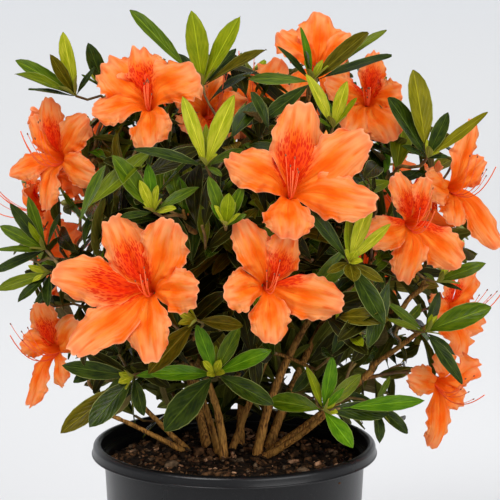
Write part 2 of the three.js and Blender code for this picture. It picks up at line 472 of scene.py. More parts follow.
def make_pot():
    pot = put("pot_blank", mesh_from(spun(pot_profile(), POT_STEPS), "pot_blank"))
    punch = bmesh.new()
    for number in range(HOLES):
        turn = Matrix.Rotation(ROUND * (number + 0.5) / HOLES, 4, "Z")
        place = Matrix.Translation(Vector((FOOT_RADIUS, 0, HOLE_FOOT + HOLE_RADIUS)) * MM)
        bmesh.ops.create_cone(
            punch, cap_ends=True, segments=28, radius1=HOLE_RADIUS * MM, radius2=HOLE_RADIUS * MM,
            depth=24 * MM, matrix=turn @ place @ Matrix.Rotation(pi / 2, 4, "Y"),
        )
    cutter = put("punch", mesh_from(punch, "punch"))
    cut = pot.modifiers.new("drain_holes", "BOOLEAN")
    cut.operation = "DIFFERENCE"
    cut.solver = "EXACT"
    cut.object = cutter
    mesh = finished_mesh(pot, "nursery_pot")
    bpy.data.objects.remove(cutter)
    show_piece("nursery_pot", mesh, ["pot"], black_plastic())
    mesh.set_sharp_from_angle(angle=radians(POT_SHARP))


make_pot()

# %% [markdown]
# ## Bark mix
# Potting mix for acid-loving shrubs is mostly composted pine bark. It is a low mound, damp and
# nearly black in its hollows, with lighter chips lying on it. The body is one spun solid whose
# top is roughened by noise; the chips are a few bevelled blocks joined hundreds of times.

# %% Bark mix
SOIL_TOP = 154.0
SOIL_EDGE = 149.0
SUNK = 1.6  # mm that the damp mix has settled
PLATEAU = 52.0
SOIL_RADIUS = COLLAR_RADIUS - WALL - 0.9
MIX_FOOT = 3.3
MIX_RINGS, MIX_STEPS = 34, 150


def mound(x, y):
    """Height of the mix, in mm, at a place in mm."""
    out = hypot(x, y)
    slope = min(max((out - PLATEAU) / (SOIL_RADIUS - PLATEAU), 0.0), 1.0)
    low = SOIL_TOP - (SOIL_TOP - SOIL_EDGE) * slope ** 1.4
    rough = noise.fractal(Vector((x * 0.09, y * 0.09, 2.0)), 0.9, 2.1, 4)
    return low - SUNK * (1 - slope) + 1.5 * rough * (1 - 0.5 * slope)


def mix_finish(name, dark, light):
    finish, shader = new_finish(name, 0.9, 0.15)
    grain = cloudy(own_coordinates(shader, 260, 260, 260), 6.0)
    feed(shader, {"Base Color": blend(fade(grain, 0.35, 0.7), dark, light)})
    raise_relief(shader, grain, 0.0008)
    return finish


def make_mix():
    inner = [(FOOT_RADIUS - WALL - 0.4, MIX_FOOT), (SHOULDER_RADIUS - WALL - 0.4, SHOULDER)]
    inner += [(COLLAR_RADIUS - 2.6 - WALL - 0.5, COLLAR_FOOT), (SOIL_RADIUS, SOIL_EDGE)]
    top = [(SOIL_RADIUS * (1 - i / MIX_RINGS), SOIL_EDGE + 1) for i in range(1, MIX_RINGS + 1)]
    shape = spun([(0, MIX_FOOT)] + inner + top, MIX_STEPS)
    for vert in shape.verts:
        if vert.co.z > SOIL_EDGE * MM - 1e-6:
            vert.co.z = mound(vert.co.x / MM, vert.co.y / MM) * MM
    damp = mix_finish("damp_mix", (0.003, 0.002, 0.001), (0.032, 0.015, 0.006))
    show_piece("bark_mix", mesh_from(shape, "bark_mix"), ["soil"], damp)


make_mix()

# %% Bark chips
rng = np.random.default_rng(11)
CHIPS, CHIP_KINDS, LONGEST_CHIP = 2700, 3, 8.0
CHIP_TONES = (
    ("bark_chip_black", (0.004, 0.002, 0.001), (0.022, 0.011, 0.005)),
    ("bark_chip_brown", (0.022, 0.010, 0.004), (0.150, 0.070, 0.028)),
    ("bark_chip_tan", (0.160, 0.070, 0.032), (0.520, 0.290, 0.160)),
    ("bark_chip_grey", (0.045, 0.027, 0.015), (0.190, 0.120, 0.068)),
)
CHIP_SHARES = (0.46, 0.36, 0.07, 0.11)


def chip_template(seed):
    """A split piece of bark: a flat block with its corners knocked about and its edges broken."""
    shape = bmesh.new()
    bmesh.ops.create_cube(shape, size=1.0)
    knocks = np.random.default_rng(seed)
    for vert in shape.verts:
        vert.co += Vector(knocks.uniform(-0.22, 0.22, 3))
    bmesh.ops.bevel(
        shape, geom=shape.edges[:], offset=0.14, segments=1, profile=0.5, affect="EDGES", material=-1,
    )
    bmesh.ops.recalc_face_normals(shape, faces=shape.faces)
    return Template(shape)


def random_turn(flatness):
    """A turn that leaves a chip nearly flat (flatness 1) or tumbled (0)."""
    heading = Matrix.Rotation(rng.uniform(0, ROUND), 3, "Z")
    tip = Matrix.Rotation(rng.normal(0, 0.9) * (1 - flatness), 3, "X")
    return np.array(heading @ tip @ Matrix.Rotation(rng.normal(0, 0.5) * (1 - flatness), 3, "Y"))


def make_chips():
    finishes = [mix_finish(*tone) for tone in CHIP_TONES]
    for kind in range(CHIP_KINDS):
        template = chip_template(kind)
        copies, tones = [], []
        for _ in range(CHIPS // CHIP_KINDS):
            out = SOIL_RADIUS * 0.985 * sqrt(rng.uniform(0.0, 1.0))
            around = rng.uniform(0, ROUND)
            x, y = out * cos(around), out * sin(around)
            room = 2.2 * (SOIL_RADIUS + 1 - out) + 2
            long = min(1.7 * exp(rng.normal(0.05, 0.6)), LONGEST_CHIP, room)
            size = np.array([long, long * rng.uniform(0.35, 0.75), long * rng.uniform(0.2, 0.5)])
            lift = size[2] * rng.uniform(0.1, 0.5)
            place = np.array([x, y, mound(x, y) + lift])
            copies.append((template.points * size @ random_turn(0.25).T + place) * MM)
            tones.append(rng.choice(len(CHIP_TONES), p=CHIP_SHARES))
        faces = np.repeat(np.array(tones), len(template.sizes))
        name = f"bark_chips_{kind + 1}"
        mesh = joined(name, template, np.array(copies), finishes, faces, {})
        show_piece(name, mesh, ["soil"])


make_chips()

# %% [markdown]
# ## Stems
# The shrub is many-stemmed from the soil up. Each stem follows the same rule as the measured
# solid that it replaces: it leaves its foot at a lean and turns steadily to its tip. It runs on
# past the solid's end, into the crown, where twigs grow from it. A curve with a radius at every
# point makes the tube, and noise in the mesh gives the ridged bark.

# %% Stem lines
STEMS = {
    "stem_front": dict(foot=(-6.4, -3), heading=220, lean=2, bend=32, length=62, radii=(2.45, 1.6)),
    "stem_tall": dict(foot=(13.5, 4.5), heading=350, lean=10, bend=26, length=104, radii=(2.7, 1.6)),
    "stem_centre_left": dict(foot=(-10, 9), heading=205, lean=14, bend=14, length=96, radii=(2.0, 1.4)),
    "stem_centre": dict(foot=(-1, 17), heading=12, lean=20, bend=4, length=88, radii=(2.0, 1.3)),
    "stem_low_front": dict(foot=(-33, 13), heading=193, lean=58, bend=8, length=64, radii=(1.6, 1.0)),
    "stem_low_left": dict(foot=(-31, 21), heading=178, lean=46, bend=-4, length=60, radii=(1.7, 1.2)),
    "stem_low_right": dict(foot=(20.5, 0), heading=332, lean=58, bend=-14, length=58, radii=(2.05, 1.5)),
    "stem_right": dict(foot=(24, 14), heading=348, lean=53, bend=-8, length=76, radii=(2.6, 1.9)),
    "stem_back_left": dict(foot=(-17, 24), heading=128, lean=20, bend=16, length=100, radii=(2.6, 1.7)),
    "stem_back": dict(foot=(3, 29), heading=80, lean=12, bend=22, length=92, radii=(2.5, 1.6)),
    "stem_back_right": dict(foot=(21, 25), heading=40, lean=26, bend=14, length=104, radii=(2.7, 1.7)),
}
STEM_FLARE = 0.14
FLARE_LENGTH = 8.0


def stem_point(stem, along):
    """A point on a stem's middle line, in mm: a steady turn from the lean at its foot."""
    heading, lean = radians(stem["heading"]), radians(stem["lean"])
    turn = radians(stem["bend"]) / stem["length"]
    out = (cos(lean) - cos(lean + turn * along)) / turn
    up = (sin(lean + turn * along) - sin(lean)) / turn
    x, y = stem["foot"]
    return Vector((x + out * cos(heading), y + out * sin(heading), SOIL_TOP + up))


def stem_radius(stem, along):
    share = max(along, 0.0) / stem["length"]
    taper = stem["radii"][0] + (stem["radii"][1] - stem["radii"][0]) * share
    return taper * (1 + STEM_FLARE * exp(-max(along, 0.0) / FLARE_LENGTH))


tips = [stem_point(stem, stem["length"]).z for stem in STEMS.values()]
print("stems:", len(STEMS), "lowest and highest tip in mm:", round(min(tips)), round(max(tips)))


# %% Tubes and bark
STEM_STEP = 1.6
STEM_SUNK = 6.0  # mm that a stem starts below the mix


def tube_mesh(name, runs, round_steps):
    """One mesh of closed tubes; each run is a list of (place in m, radius in m)."""
    line = bpy.data.curves.new(name, "CURVE")
    line.dimensions = "3D"
    line.bevel_depth = 1.0
    line.bevel_resolution = round_steps
    line.use_fill_caps = True
    for run in runs:
        spline = line.splines.new("POLY")
        spline.points.add(len(run) - 1)
        for point, (place, radius) in zip(spline.points, run):
            point.co = (*place, 1.0)
            point.radius = radius
    mesh = finished_mesh(put(name, line), name)
    bpy.data.curves.remove(line)
    return mesh


def bark_finish(name, dark, light, warm):
    """Thin ridged bark: streaks along the stem and warmer patches."""
    finish, shader = new_finish(name, 0.72, 0.2)
    streaks = cloudy(own_coordinates(shader, 1100, 1100, 260), 5.0)
    patches = cloudy(own_coordinates(shader, 120, 120, 90), 2.0)
    tone = blend(fade(streaks, 0.34, 0.66), dark, light)
    tone = blend(fade(patches, 0.45, 0.7) * 0.6, tone, warm)
    feed(shader, {"Base Color": tone})
    raise_relief(shader, streaks, 0.0004)
    return finish


def roughen(mesh, depth, size):
    """Pushes a tube's surface in and out: ridges along it, and a coarser swelling."""
    mesh.update()
    spots = np.array([vert.co[:] for vert in mesh.vertices])
    normals = np.array([vert.normal[:] for vert in mesh.vertices])
    push = np.empty(len(spots))
    for i, (x, y, z) in enumerate(spots):
        ridge = noise.noise(Vector((x / size, y / size, z / size / 3.2)))
        swell = noise.noise(Vector((x, y, z)) / (size * 4) + Vector((7, 3, 1)))
        push[i] = depth * (ridge + 0.8 * swell)
    mesh.vertices.foreach_set("co", (spots + normals * push[:, None]).ravel())
    mesh.update()


def make_stems():
    runs = []
    for number, stem in enumerate(STEMS.values()):
        steps = round(stem["length"] / STEM_STEP)
        alongs = [-STEM_SUNK] + [stem["length"] * i / steps for i in range(steps + 1)]
        knobs = [1 + 0.13 * noise.noise(Vector((along * 0.33, 5.0 * number, 0.0))) for along in alongs]
        radii = [stem_radius(stem, along) * knob * MM for along, knob in zip(alongs, knobs)]
        runs.append([(stem_point(stem, along) * MM, radius) for along, radius in zip(alongs, radii)])
    mesh = tube_mesh("barked_stems", runs, 7)
    roughen(mesh, 0.00028, 0.0016)
    old_bark = bark_finish("old_bark", (0.080, 0.028, 0.005), (0.50, 0.235, 0.050), (0.42, 0.215, 0.045))
    show_piece("barked_stems", mesh, list(STEMS), old_bark)


make_stems()

# %% [markdown]
# ## Where the best seen flowers and shoots are
# The viewer knows this shrub by its large open flowers and by the leafy shoots round them.
# Those are placed one by one. Each has the picture position of its throat or base, its depth
# in mm (less is nearer), and where its petal or leaf tips are seen. The rest of the crown is
# grown by rule.

# %% Flowers seen from the front
# Each flower: throat (across, down), depth in mm, where it faces (turn to the right, tilt
# up, in degrees), how long its stamens are in mm, and its petals' tips as (across, down,
# blotched, width as a share of a full one).
FACING_FLOWERS = {
    "middle": dict(throat=(290, 192), y=-108, turn=4, tilt=24, stamens=24, tips=(
        (303, 101, 1, 1.0), (369, 141, 0, 0.95), (377, 204, 0, 0.9), (287, 238, 0, 0.95),
        (229, 153, 0, 0.95))),
    "left": dict(throat=(149, 290), y=-100, turn=-12, tilt=18, stamens=24, tips=(
        (110, 217, 1, 0.9), (54, 278, 1, 0.9), (78, 358, 0, 0.95), (150, 364, 0, 0.85),
        (200, 291, 0, 0.85), (177, 222, 0, 0.9))),
    "centre_low": dict(throat=(268, 286), y=-104, turn=14, tilt=8, stamens=24, tips=(
        (241, 218, 0, 0.9), (294, 233, 1, 0.9), (341, 306, 0, 0.95), (272, 344, 0, 0.85),
        (225, 292, 0, 0.9))),
    "upper_left": dict(throat=(148, 104), y=-52, turn=-8, tilt=28, stamens=20, tips=(
        (105, 60, 0, 1.35), (140, 44, 1, 1.25), (192, 62, 0, 1.45), (153, 148, 0, 1.05),
        (91, 107, 0, 0.9))),
    "right": dict(throat=(412, 224), y=-52, turn=22, tilt=6, stamens=30, tips=(
        (396, 172, 1, 0.75), (432, 178, 1, 0.75), (464, 266, 0, 1.0), (408, 284, 0, 0.85),
        (364, 240, 0, 0.85))),
    "top_right": dict(throat=(368, 100), y=-16, turn=4, tilt=24, stamens=18, tips=(
        (376, 50, 1, 0.72), (403, 90, 0, 0.9), (390, 142, 0, 1.1), (347, 130, 0, 1.05),
        (325, 80, 0, 0.95))),
    "far_left": dict(throat=(58, 158), y=-14, turn=-30, tilt=12, tips=(
        (50, 97, 1, 0.7), (87, 116, 0, 0.8), (96, 179, 0, 0.85), (40, 211, 0, 0.75), (10, 171, 0, 0.7),
        (29, 116, 0, 0.65))),
    "low_left": dict(throat=(54, 350), y=-8, turn=-36, tilt=6, tips=(
        (38, 302, 1, 0.8), (78, 324, 0, 0.8), (62, 386, 0, 0.7), (26, 406, 0, 0.7), (19, 338, 0, 0.8))),
    "far_right": dict(throat=(454, 188), y=2, turn=34, tilt=8, tips=(
        (470, 118, 0, 0.7), (488, 160, 0, 0.75), (498, 247, 0, 0.58), (458, 226, 0, 0.6),
        (431, 186, 0, 0.8))),
    "low_right": dict(throat=(440, 384), y=-4, turn=34, tilt=-14, tips=(
        (452, 346, 0, 0.8), (483, 372, 0, 1.05), (462, 412, 0, 0.8), (432, 450, 0, 0.6),
        (410, 378, 0, 0.7))),
    "top": dict(throat=(317, 68), y=22, turn=4, tilt=34, stamens=10, tips=(
        (322, 13, 0, 1.25), (353, 33, 0, 0.8), (346, 84, 0, 0.8), (292, 88, 0, 0.8),
        (281, 30, 0, 1.0))),
}
# Flowers seen from the side or from behind: throat, depth, facing, roll and reach in mm.
TURNED_FLOWERS = {
    "right_behind": dict(throat=(452, 308), y=24, turn=50, tilt=8, roll=20, reach=28),
    "top_behind": dict(throat=(258, 104), y=50, turn=-30, tilt=40, roll=200, reach=30),
    "left_behind": dict(throat=(40, 206), y=48, turn=-80, tilt=-6, roll=0, reach=26),
    "upper_behind": dict(throat=(208, 112), y=6, turn=18, tilt=22, roll=200, reach=22),
}
print("flowers placed:", len(FACING_FLOWERS) + len(TURNED_FLOWERS))

# %% Boughs seen from the front
# Wood that goes on from a stem's end: places in mm, then the radius at the start and the end.
BOUGHS = (
    ("stem_right", ((82, 2, 208), (92, -2, 216), (107, -8, 229), (114, -14, 236)), (1.9, 1.2)),
    ("stem_tall", ((46, -4, 238), (54, -10, 256), (58, -24, 276), (52, -44, 296)), (1.9, 1.1)),
    ("stem_back_right", ((92, 5, 238), (102, 2, 247), (112, 0, 255)), (1.5, 1.0)),
    ("stem_front", ((-20, -24, 214), (-24, -40, 226), (-20, -56, 238)), (1.8, 1.2)),
    ("stem_low_front", ((-78, 6, 186), (-84, -8, 198), (-82, -24, 206)), (1.2, 0.9)),
)
print("boughs placed:", len(BOUGHS))

# %% Leafy shoots seen from the front
# Each shoot: base (across, down), depth, and leaf tips as (across, down, tint, how much nearer
# than the base in mm, width as a share of the length). Tints: D deep, E deepest, M middle,
# N middle olive, F fresh, G light, Y yellow, O olive, K dark olive.
SEEN_SHOOTS = {
    "top_left": ((76, 96), -20, (
        (64, 31, "Y", 6, 0.26), (49, 54, "K", 10, 0.26), (18, 58, "M", 12, 0.28),
        (17, 71, "N", 20, 0.26), (28, 90, "D", 22, 0.2), (94, 66, "D", -6, 0.24))),
    "top_left_inner": ((106, 90), -6, (
        (88, 43, "D", 4, 0.34), (112, 60, "D", -8, 0.3), (82, 74, "M", 8, 0.22))),
    "top_peak": ((203, 86), -30, (
        (130, 10, "M", 6, 0.26), (192, 11, "G", 8, 0.31), (237, 15, "G", 4, 0.29),
        (266, 49, "K", 16, 0.26), (236, 48, "D", -14, 0.3), (178, 50, "D", -8, 0.26))),
    "upper_middle": ((206, 166), -92, (
        (184, 97, "Y", 8, 0.22), (231, 96, "Y", 12, 0.27), (206, 124, "G", -8, 0.2),
        (136, 147, "D", 14, 0.2), (243, 150, "M", -6, 0.3), (222, 176, "M", 8, 0.34))),
    "left_middle": ((154, 212), -90, (
        (111, 155, "M", 10, 0.3), (148, 164, "F", 4, 0.28), (139, 180, "Y", 6, 0.3),
        (176, 208, "Y", 12, 0.3), (198, 184, "M", -2, 0.26), (120, 218, "D", 8, 0.26))),
    "centre": ((226, 226), -112, (
        (208, 176, "M", 4, 0.27), (243, 186, "M", 2, 0.3), (229, 194, "G", 8, 0.42),
        (212, 204, "F", 4, 0.3), (246, 214, "M", 2, 0.3))),
    "top_middle": ((333, 128), -62, (
        (308, 74, "Y", 6, 0.26), (346, 82, "Y", 6, 0.3), (326, 98, "F", -4, 0.26),
        (358, 98, "G", 10, 0.2), (312, 116, "M", 8, 0.26))),
    "top_right_inner": ((312, 82), -34, (
        (366, 31, "K", 12, 0.3), (384, 26, "N", 2, 0.14), (303, 28, "F", 14, 0.16),
        (248, 74, "M", 4, 0.26), (278, 46, "D", 8, 0.2), (262, 122, "D", 16, 0.26),
        (308, 50, "D", 16, 0.3), (392, 50, "D", -12, 0.16))),
    "right_shoulder": ((427, 158), -40, (
        (390, 97, "D", 12, 0.38), (415, 70, "O", 6, 0.36), (448, 113, "D", 4, 0.32),
        (489, 113, "O", 8, 0.17), (402, 146, "D", 10, 0.3), (448, 156, "D", 4, 0.24))),
    "right_middle": ((349, 262), -104, (
        (308, 203, "D", 10, 0.2), (371, 198, "Y", 6, 0.24), (348, 214, "G", 2, 0.24),
        (390, 224, "Y", 8, 0.2), (328, 272, "K", 10, 0.34), (354, 281, "K", 14, 0.6),
        (384, 326, "D", 14, 0.3), (384, 282, "K", 2, 0.3))),
    "low_front": ((215, 374), -64, (
        (197, 325, "F", 8, 0.3), (238, 328, "M", 8, 0.3), (216, 346, "G", 2, 0.3),
        (152, 372, "F", 10, 0.28), (270, 350, "F", 10, 0.28), (274, 403, "D", 6, 0.33),
        (252, 360, "D", -8, 0.3), (163, 431, "D", 4, 0.4))),
    "under_left": ((197, 320), -84, (
        (148, 374, "K", 10, 0.36), (243, 326, "K", -4, 0.34), (176, 300, "D", -8, 0.3))),
    "low_right": ((323, 410), -58, (
        (308, 367, "G", 4, 0.24), (333, 357, "F", 2, 0.32), (361, 374, "N", -8, 0.3),
        (425, 400, "F", -4, 0.2), (353, 448, "F", 10, 0.44), (391, 412, "D", -8, 0.3),
        (344, 388, "F", 6, 0.24), (268, 398, "M", -12, 0.4))),
    "right_reach": ((425, 332), -30, (
        (490, 306, "M", 8, 0.38), (440, 292, "D", -6, 0.3), (464, 383, "D", 8, 0.3),
        (458, 354, "D", -6, 0.24), (386, 302, "M", 2, 0.24), (432, 314, "G", 4, 0.3),
        (386, 318, "N", 12, 0.16))),
    "right_low": ((374, 404), -30, (
        (382, 443, "D", 8, 0.42), (409, 432, "D", 6, 0.36), (416, 402, "D", -6, 0.3),
        (392, 376, "M", -8, 0.26), (356, 418, "D", -6, 0.3))),
    "right_high": ((436, 282), -26, (
        (486, 263, "M", 4, 0.28), (462, 290, "D", 6, 0.26), (424, 272, "M", -4, 0.3))),
    "left_edge": ((46, 250), -14, (
        (0, 226, "M", 4, 0.3), (-2, 248, "M", 12, 0.22), (-6, 270, "D", 6, 0.3),
        (10, 203, "D", 0, 0.24), (27, 196, "M", -6, 0.24), (60, 212, "D", 4, 0.2),
        (28, 222, "G", 8, 0.24))),
    "left_edge_low": ((50, 272), -30, (
        (-4, 290, "N", 6, 0.26), (18, 303, "D", 10, 0.28), (46, 306, "D", 6, 0.4),
        (76, 256, "E", -4, 0.24))),
    "low_left": ((134, 376), -54, (
        (60, 433, "K", 8, 0.28), (90, 428, "D", 12, 0.4), (62, 366, "D", 4, 0.26),
        (84, 352, "E", -6, 0.3), (144, 416, "D", 10, 0.4), (164, 372, "F", 6, 0.26))),
}
# Buds: across, down, depth and half-length in m; each stands on its own twig.
BUDS = ((188, 224, -70, 0.0035), (326, 140, -60, 0.003))
# Stems that the leaves leave in view, as lines in the picture.
CLEAR_LINES = (((262, 440), (277, 390)), ((277, 390), (312, 320)), ((361, 378), (425, 329)))
# Spots of the picture where the sky shows through the crown: (across, down, radius).
SKY_GAPS = ((66, 234, 8), (146, 404, 14), (182, 392, 6), (298, 372, 10), (408, 300, 12), (412, 388, 8))
print("shoots placed:", len(SEEN_SHOOTS), "buds:", len(BUDS))


# %% [markdown]
# ## Flower frames
# A funnel flower has an axis, a throat on it, and five lobes that spread round it. Each lobe is
# known by its angle round the axis and its reach out from it. For the flowers that are placed one
# by one these come from the tips: the sight line to a tip is met with the plane that the lobes
# open into, a little in front of the throat.

# %% Flower frames
TUBE = 13.0  # mm of joined tube behind the throat
OPEN_PLANE = 8.0  # mm from the throat forward to the plane of the open lobes
STAMENS = 38  # mm, where nothing else is said
rng = np.random.default_rng(23)


class Flower:
    """Where a flower is, where it faces, and its lobes: angle, reach in m, blotched, width."""

    def __init__(self, throat, turn, tilt, stamens=STAMENS):
        turn, tilt = radians(turn), radians(tilt)
        axis = Vector((sin(turn) * cos(tilt), -cos(turn) * cos(tilt), sin(tilt)))
        self.throat, self.axis, self.stamens = throat, axis.normalized(), stamens
        self.up = (UP - self.axis * UP.dot(self.axis)).normalized()
        self.side = self.axis.cross(self.up)
        self.lobes = []

    def base(self):
        return self.throat - self.axis * (TUBE + 1.0) * MM

    def lobe_to(self, across, down, blotched, width):
        ray = seen_at(across, down, 0) - EYE
        plane = self.throat + self.axis * OPEN_PLANE * MM
        offset = EYE + ray * ((plane - EYE).dot(self.axis) / ray.dot(self.axis)) - plane
        ahead, aside = offset.dot(self.up), offset.dot(self.side)
        self.lobes.append((atan2(aside, ahead), hypot(aside, ahead), blotched, width))

    def lobes_by_rule(self, roll, reach):
        for number in range(5):
            angle = radians(roll + 72 * number + rng.uniform(-5, 5))
            self.lobes.append((angle, reach * MM * rng.uniform(0.94, 1.06), number == 0, 1.0))

    def half_gap(self, angle, way):
        """Half the angle from a lobe to its neighbour, clockwise (-1) or the other way (1)."""
        others = [(way * (other[0] - angle)) % ROUND for other in self.lobes]
        return min(gap for gap in others if gap > 0.05) / 2

    def local(self, points):
        """(distance from the axis, height over the throat) of points, in m."""
        offset = points - np.array(self.throat)
        height = offset @ np.array(self.axis)
        return np.sqrt(np.maximum((offset ** 2).sum(-1) - height ** 2, 0)), height

    def reach(self):
        return max(lobe[1] for lobe in self.lobes)


# Flowers round the back, as (x, y, z) in mm and where they face.
BACK_FLOWERS = (
    ((-84, 94, 312), 150, 20), ((-30, 112, 332), 186, 24), ((52, 108, 318), 198, 14),
    ((108, 80, 290), 232, 10), ((-116, 66, 262), 118, 4), ((4, 114, 268), 176, 2),
    ((84, 104, 244), 206, -6), ((-62, 106, 244), 160, -8), ((120, 46, 286), 256, 16),
    ((-112, 56, 316), 108, 26),
)


def make_flowers():
    flowers = []
    for seen in FACING_FLOWERS.values():
        throat = seen_at(*seen["throat"], seen["y"])
        flowers.append(Flower(throat, seen["turn"], seen["tilt"], seen.get("stamens", STAMENS)))
        for tip in seen["tips"]:
            flowers[-1].lobe_to(*tip)
    for seen in TURNED_FLOWERS.values():
        flowers.append(Flower(seen_at(*seen["throat"], seen["y"]), seen["turn"], seen["tilt"]))
        flowers[-1].lobes_by_rule(seen["roll"], seen["reach"])
    for place, turn, tilt in BACK_FLOWERS:
        flowers.append(Flower(Vector(place) * MM, turn, tilt))
        flowers[-1].lobes_by_rule(rng.uniform(-20, 20), rng.uniform(33, 38))
    return flowers


flowers = make_flowers()
widest = max(flower.reach() for flower in flowers)
print("flowers:", len(flowers), "reach of the largest:", round(widest / MM, 1), "mm")

# %% [markdown]
# ## Leaf shape
# An azalea leaf is a soft elongated oval, widest past its middle, on a very short stalk, with a
# firm midrib and a slight keel. Each leaf is closed: an upper and a lower sheet welded at the
# margin, and each sheet has its own finish. The template only holds how far along, how far
# across and which side; every leaf bends it by its own length, width, curl and keel.

# %% Leaf sheets
LEAF_ROWS = (0.0, 0.08, 0.20, 0.36, 0.53, 0.70, 0.84, 0.94, 1.0)
LEAF_COLUMNS = 4
STALK = 0.08  # share of a leaf's length
leaf = sheet_pair(len(LEAF_ROWS) - 1, LEAF_COLUMNS, np.linspace(0, 1, len(LEAF_ROWS)), LEAF_ROWS)
print("leaf faces:", len(leaf.sizes), "points:", len(leaf.points))


def leaf_half_width(along):
    """Half the leaf's width as a share of its widest: stalk, then blade, then a short point."""
    blade = np.clip((along - STALK) / (1 - STALK), 0, 1)
    shape = blade ** 0.95 * (1.004 - blade) ** 0.80
    widest = 0.54 ** 0.95 * 0.464 ** 0.80
    return np.maximum(shape / widest, 0.07 * (1 - 0.9 * along))


def leaf_points(length, width, curl, keel, wave):
    """Every leaf's points in its own frame: x to the tip, z up from the upper face."""
    length, width, curl, fold, wave = (np.array(row)[:, None] for row in (length, width, curl, keel, wave))
    along, across = leaf.along[None, :], leaf.across[None, :]
    bend = np.where(np.abs(curl) < 0.02, 0.02, curl)
    x = length * np.sin(bend * along) / bend
    z = -length * (1 - np.cos(bend * along)) / bend
    half = width / 2 * leaf_half_width(along)
    offset = half * np.abs(across) ** 1.15 * np.sin(fold)
    offset += 0.02 * length * np.sin(along * 9 + wave + 2 * across) * np.abs(across) ** 2 * along
    offset += leaf.side * 0.00016 * (1 + np.exp(-((across / 0.15) ** 2)))
    y = half * across * np.cos(fold * 0.9)
    return np.stack([x + offset * np.sin(bend * along), y, z + offset * np.cos(bend * along)], axis=2)


# %% [markdown]
# ## Sprays
# Azalea leaves sit in a whorl at the end of each shoot, with a few more below it and small new
# ones in its heart. A list collects every leaf with its foot, its direction and the way its
# upper face looks. A leaf is left out if it would stand in an open flower, cover a place where
# the sky should show, or leave the crown.

# %% Crown outline
CROWN_OUTLINE = (
    (14, 226), (30, 200), (56, 176), (66, 112), (96, 92), (120, 72), (160, 56), (200, 46), (240, 50),
    (264, 56), (284, 66), (300, 44), (345, 44), (376, 66), (404, 98), (440, 124), (474, 136), (484, 200),
    (482, 262), (466, 300), (458, 345), (442, 388), (420, 430), (350, 432), (335, 442), (215, 442),
    (165, 432), (100, 428), (86, 396), (60, 380), (40, 330), (20, 296), (8, 250),
)


def within(outline, across, down):
    """Whether a picture place lies within an outline, by the crossings of a level line."""
    inside = False
    for (x0, y0), (x1, y1) in zip(outline, outline[1:] + outline[:1]):
        if (y0 > down) != (y1 > down) and across < x0 + (down - y0) / (y1 - y0) * (x1 - x0):
            inside = not inside
    return inside


def in_sky(across, down):
    return any(hypot(across - x, down - y) < radius for x, y, radius in SKY_GAPS)


def from_line(across, down, start, end):
    """Pixels from a place in the picture to a line between two others."""
    line, offset = Vector(end) - Vector(start), Vector((across, down)) - Vector(start)
    share = min(max(offset.dot(line) / line.dot(line), 0.0), 1.0)
    return (offset - line * share).length


print("corners of the crown's outline:", len(CROWN_OUTLINE))

# %% Places that leaves keep clear
STEMS_SHOW = (168, 345, 394)  # from left to right across the picture, below this line
FRONT_OF_STEMS, FRONT_OF_LINES = 0.032, 0.004
LINE_ROOM, SHOOT_ROOM = 11, 46  # pixels
IN_FRONT_OF_FLOWER, IN_FRONT_OF_SHOOT = 18, 4  # mm behind it from which a leaf counts as in front
STAR_MARGIN = 1.12
cad_low, cad_high = np.array(cad_box[0]), np.array(cad_box[1])
CAD_MARGIN = 0.004


def in_front_of_stems(place, across, down):
    left, right, top = STEMS_SHOW
    if place.y < FRONT_OF_STEMS and left < across < right and down > top:
        return True
    near = any(from_line(across, down, *line) < LINE_ROOM for line in CLEAR_LINES)
    return near and place.y < FRONT_OF_LINES


def flower_outline(seen):
    """The star of a flower's tips in the picture, in order round its throat, a little enlarged."""
    x, y = seen["throat"]
    tips = sorted(seen["tips"], key=lambda tip: atan2(tip[1] - y, tip[0] - x))
    return tuple((x + (tip[0] - x) * STAR_MARGIN, y + (tip[1] - y) * STAR_MARGIN) for tip in tips)


FLOWER_OUTLINES = [(seen["y"], flower_outline(seen)) for seen in FACING_FLOWERS.values()]
print("flowers that leaves keep clear of:", len(FLOWER_OUTLINES))


def in_front_of_flower(place, across, down):
    near = (star for y, star in FLOWER_OUTLINES if place.y < (y + IN_FRONT_OF_FLOWER) * MM)
    return any(within(star, across, down) for star in near)


def in_front_of_shoot(place, across, down):
    near = (base for base, y, _ in SEEN_SHOOTS.values() if place.y < (y + IN_FRONT_OF_SHOOT) * MM)
    return any(hypot(across - x, down - y) < SHOOT_ROOM for x, y in near)


def in_open_face(spots, share, clear, behind, ahead):
    """Whether any spot lies in a flower's open face: so far out, and between two heights."""
    for flower in flowers:
        out, height = flower.local(spots)
        if np.any((out < flower.reach() * share + clear) & (height > behind) & (height < ahead)):
            return True
    return False


def leaf_is_free(foot, direction, length):
    spots = np.array([foot + direction * length * share for share in (0.3, 0.65, 1.0)])
    if in_open_face(spots, 1, 0.003, -0.006, 0.03):
        return False
    for spot in spots:
        place = Vector(spot)
        seen = in_picture(place)
        if in_sky(*seen) or not within(CROWN_OUTLINE, *seen):
            return False
        if any(hides(place, *seen) for hides in (in_front_of_flower, in_front_of_shoot, in_front_of_stems)):
            return False
    return bool(np.all(spots.min(0) > cad_low - CAD_MARGIN) and np.all(spots.max(0) < cad_high + CAD_MARGIN))


# %% Whorls
GOLDEN_ANGLE = 2.39996
leaves = []


def add_leaf(foot, direction, face, length, width, tint, curl=None):
    curl = rng.normal(0.35, 0.3) if curl is None else curl
    leaves.append((foot, direction, face, length, width, tint, curl, rng.uniform(0.12, 0.4)))


def round_axis(axis, angle):
    """A unit direction square to an axis, turned round it by an angle."""
    first = axis.orthogonal().normalized()
    return first * cos(angle) + axis.cross(first) * sin(angle)


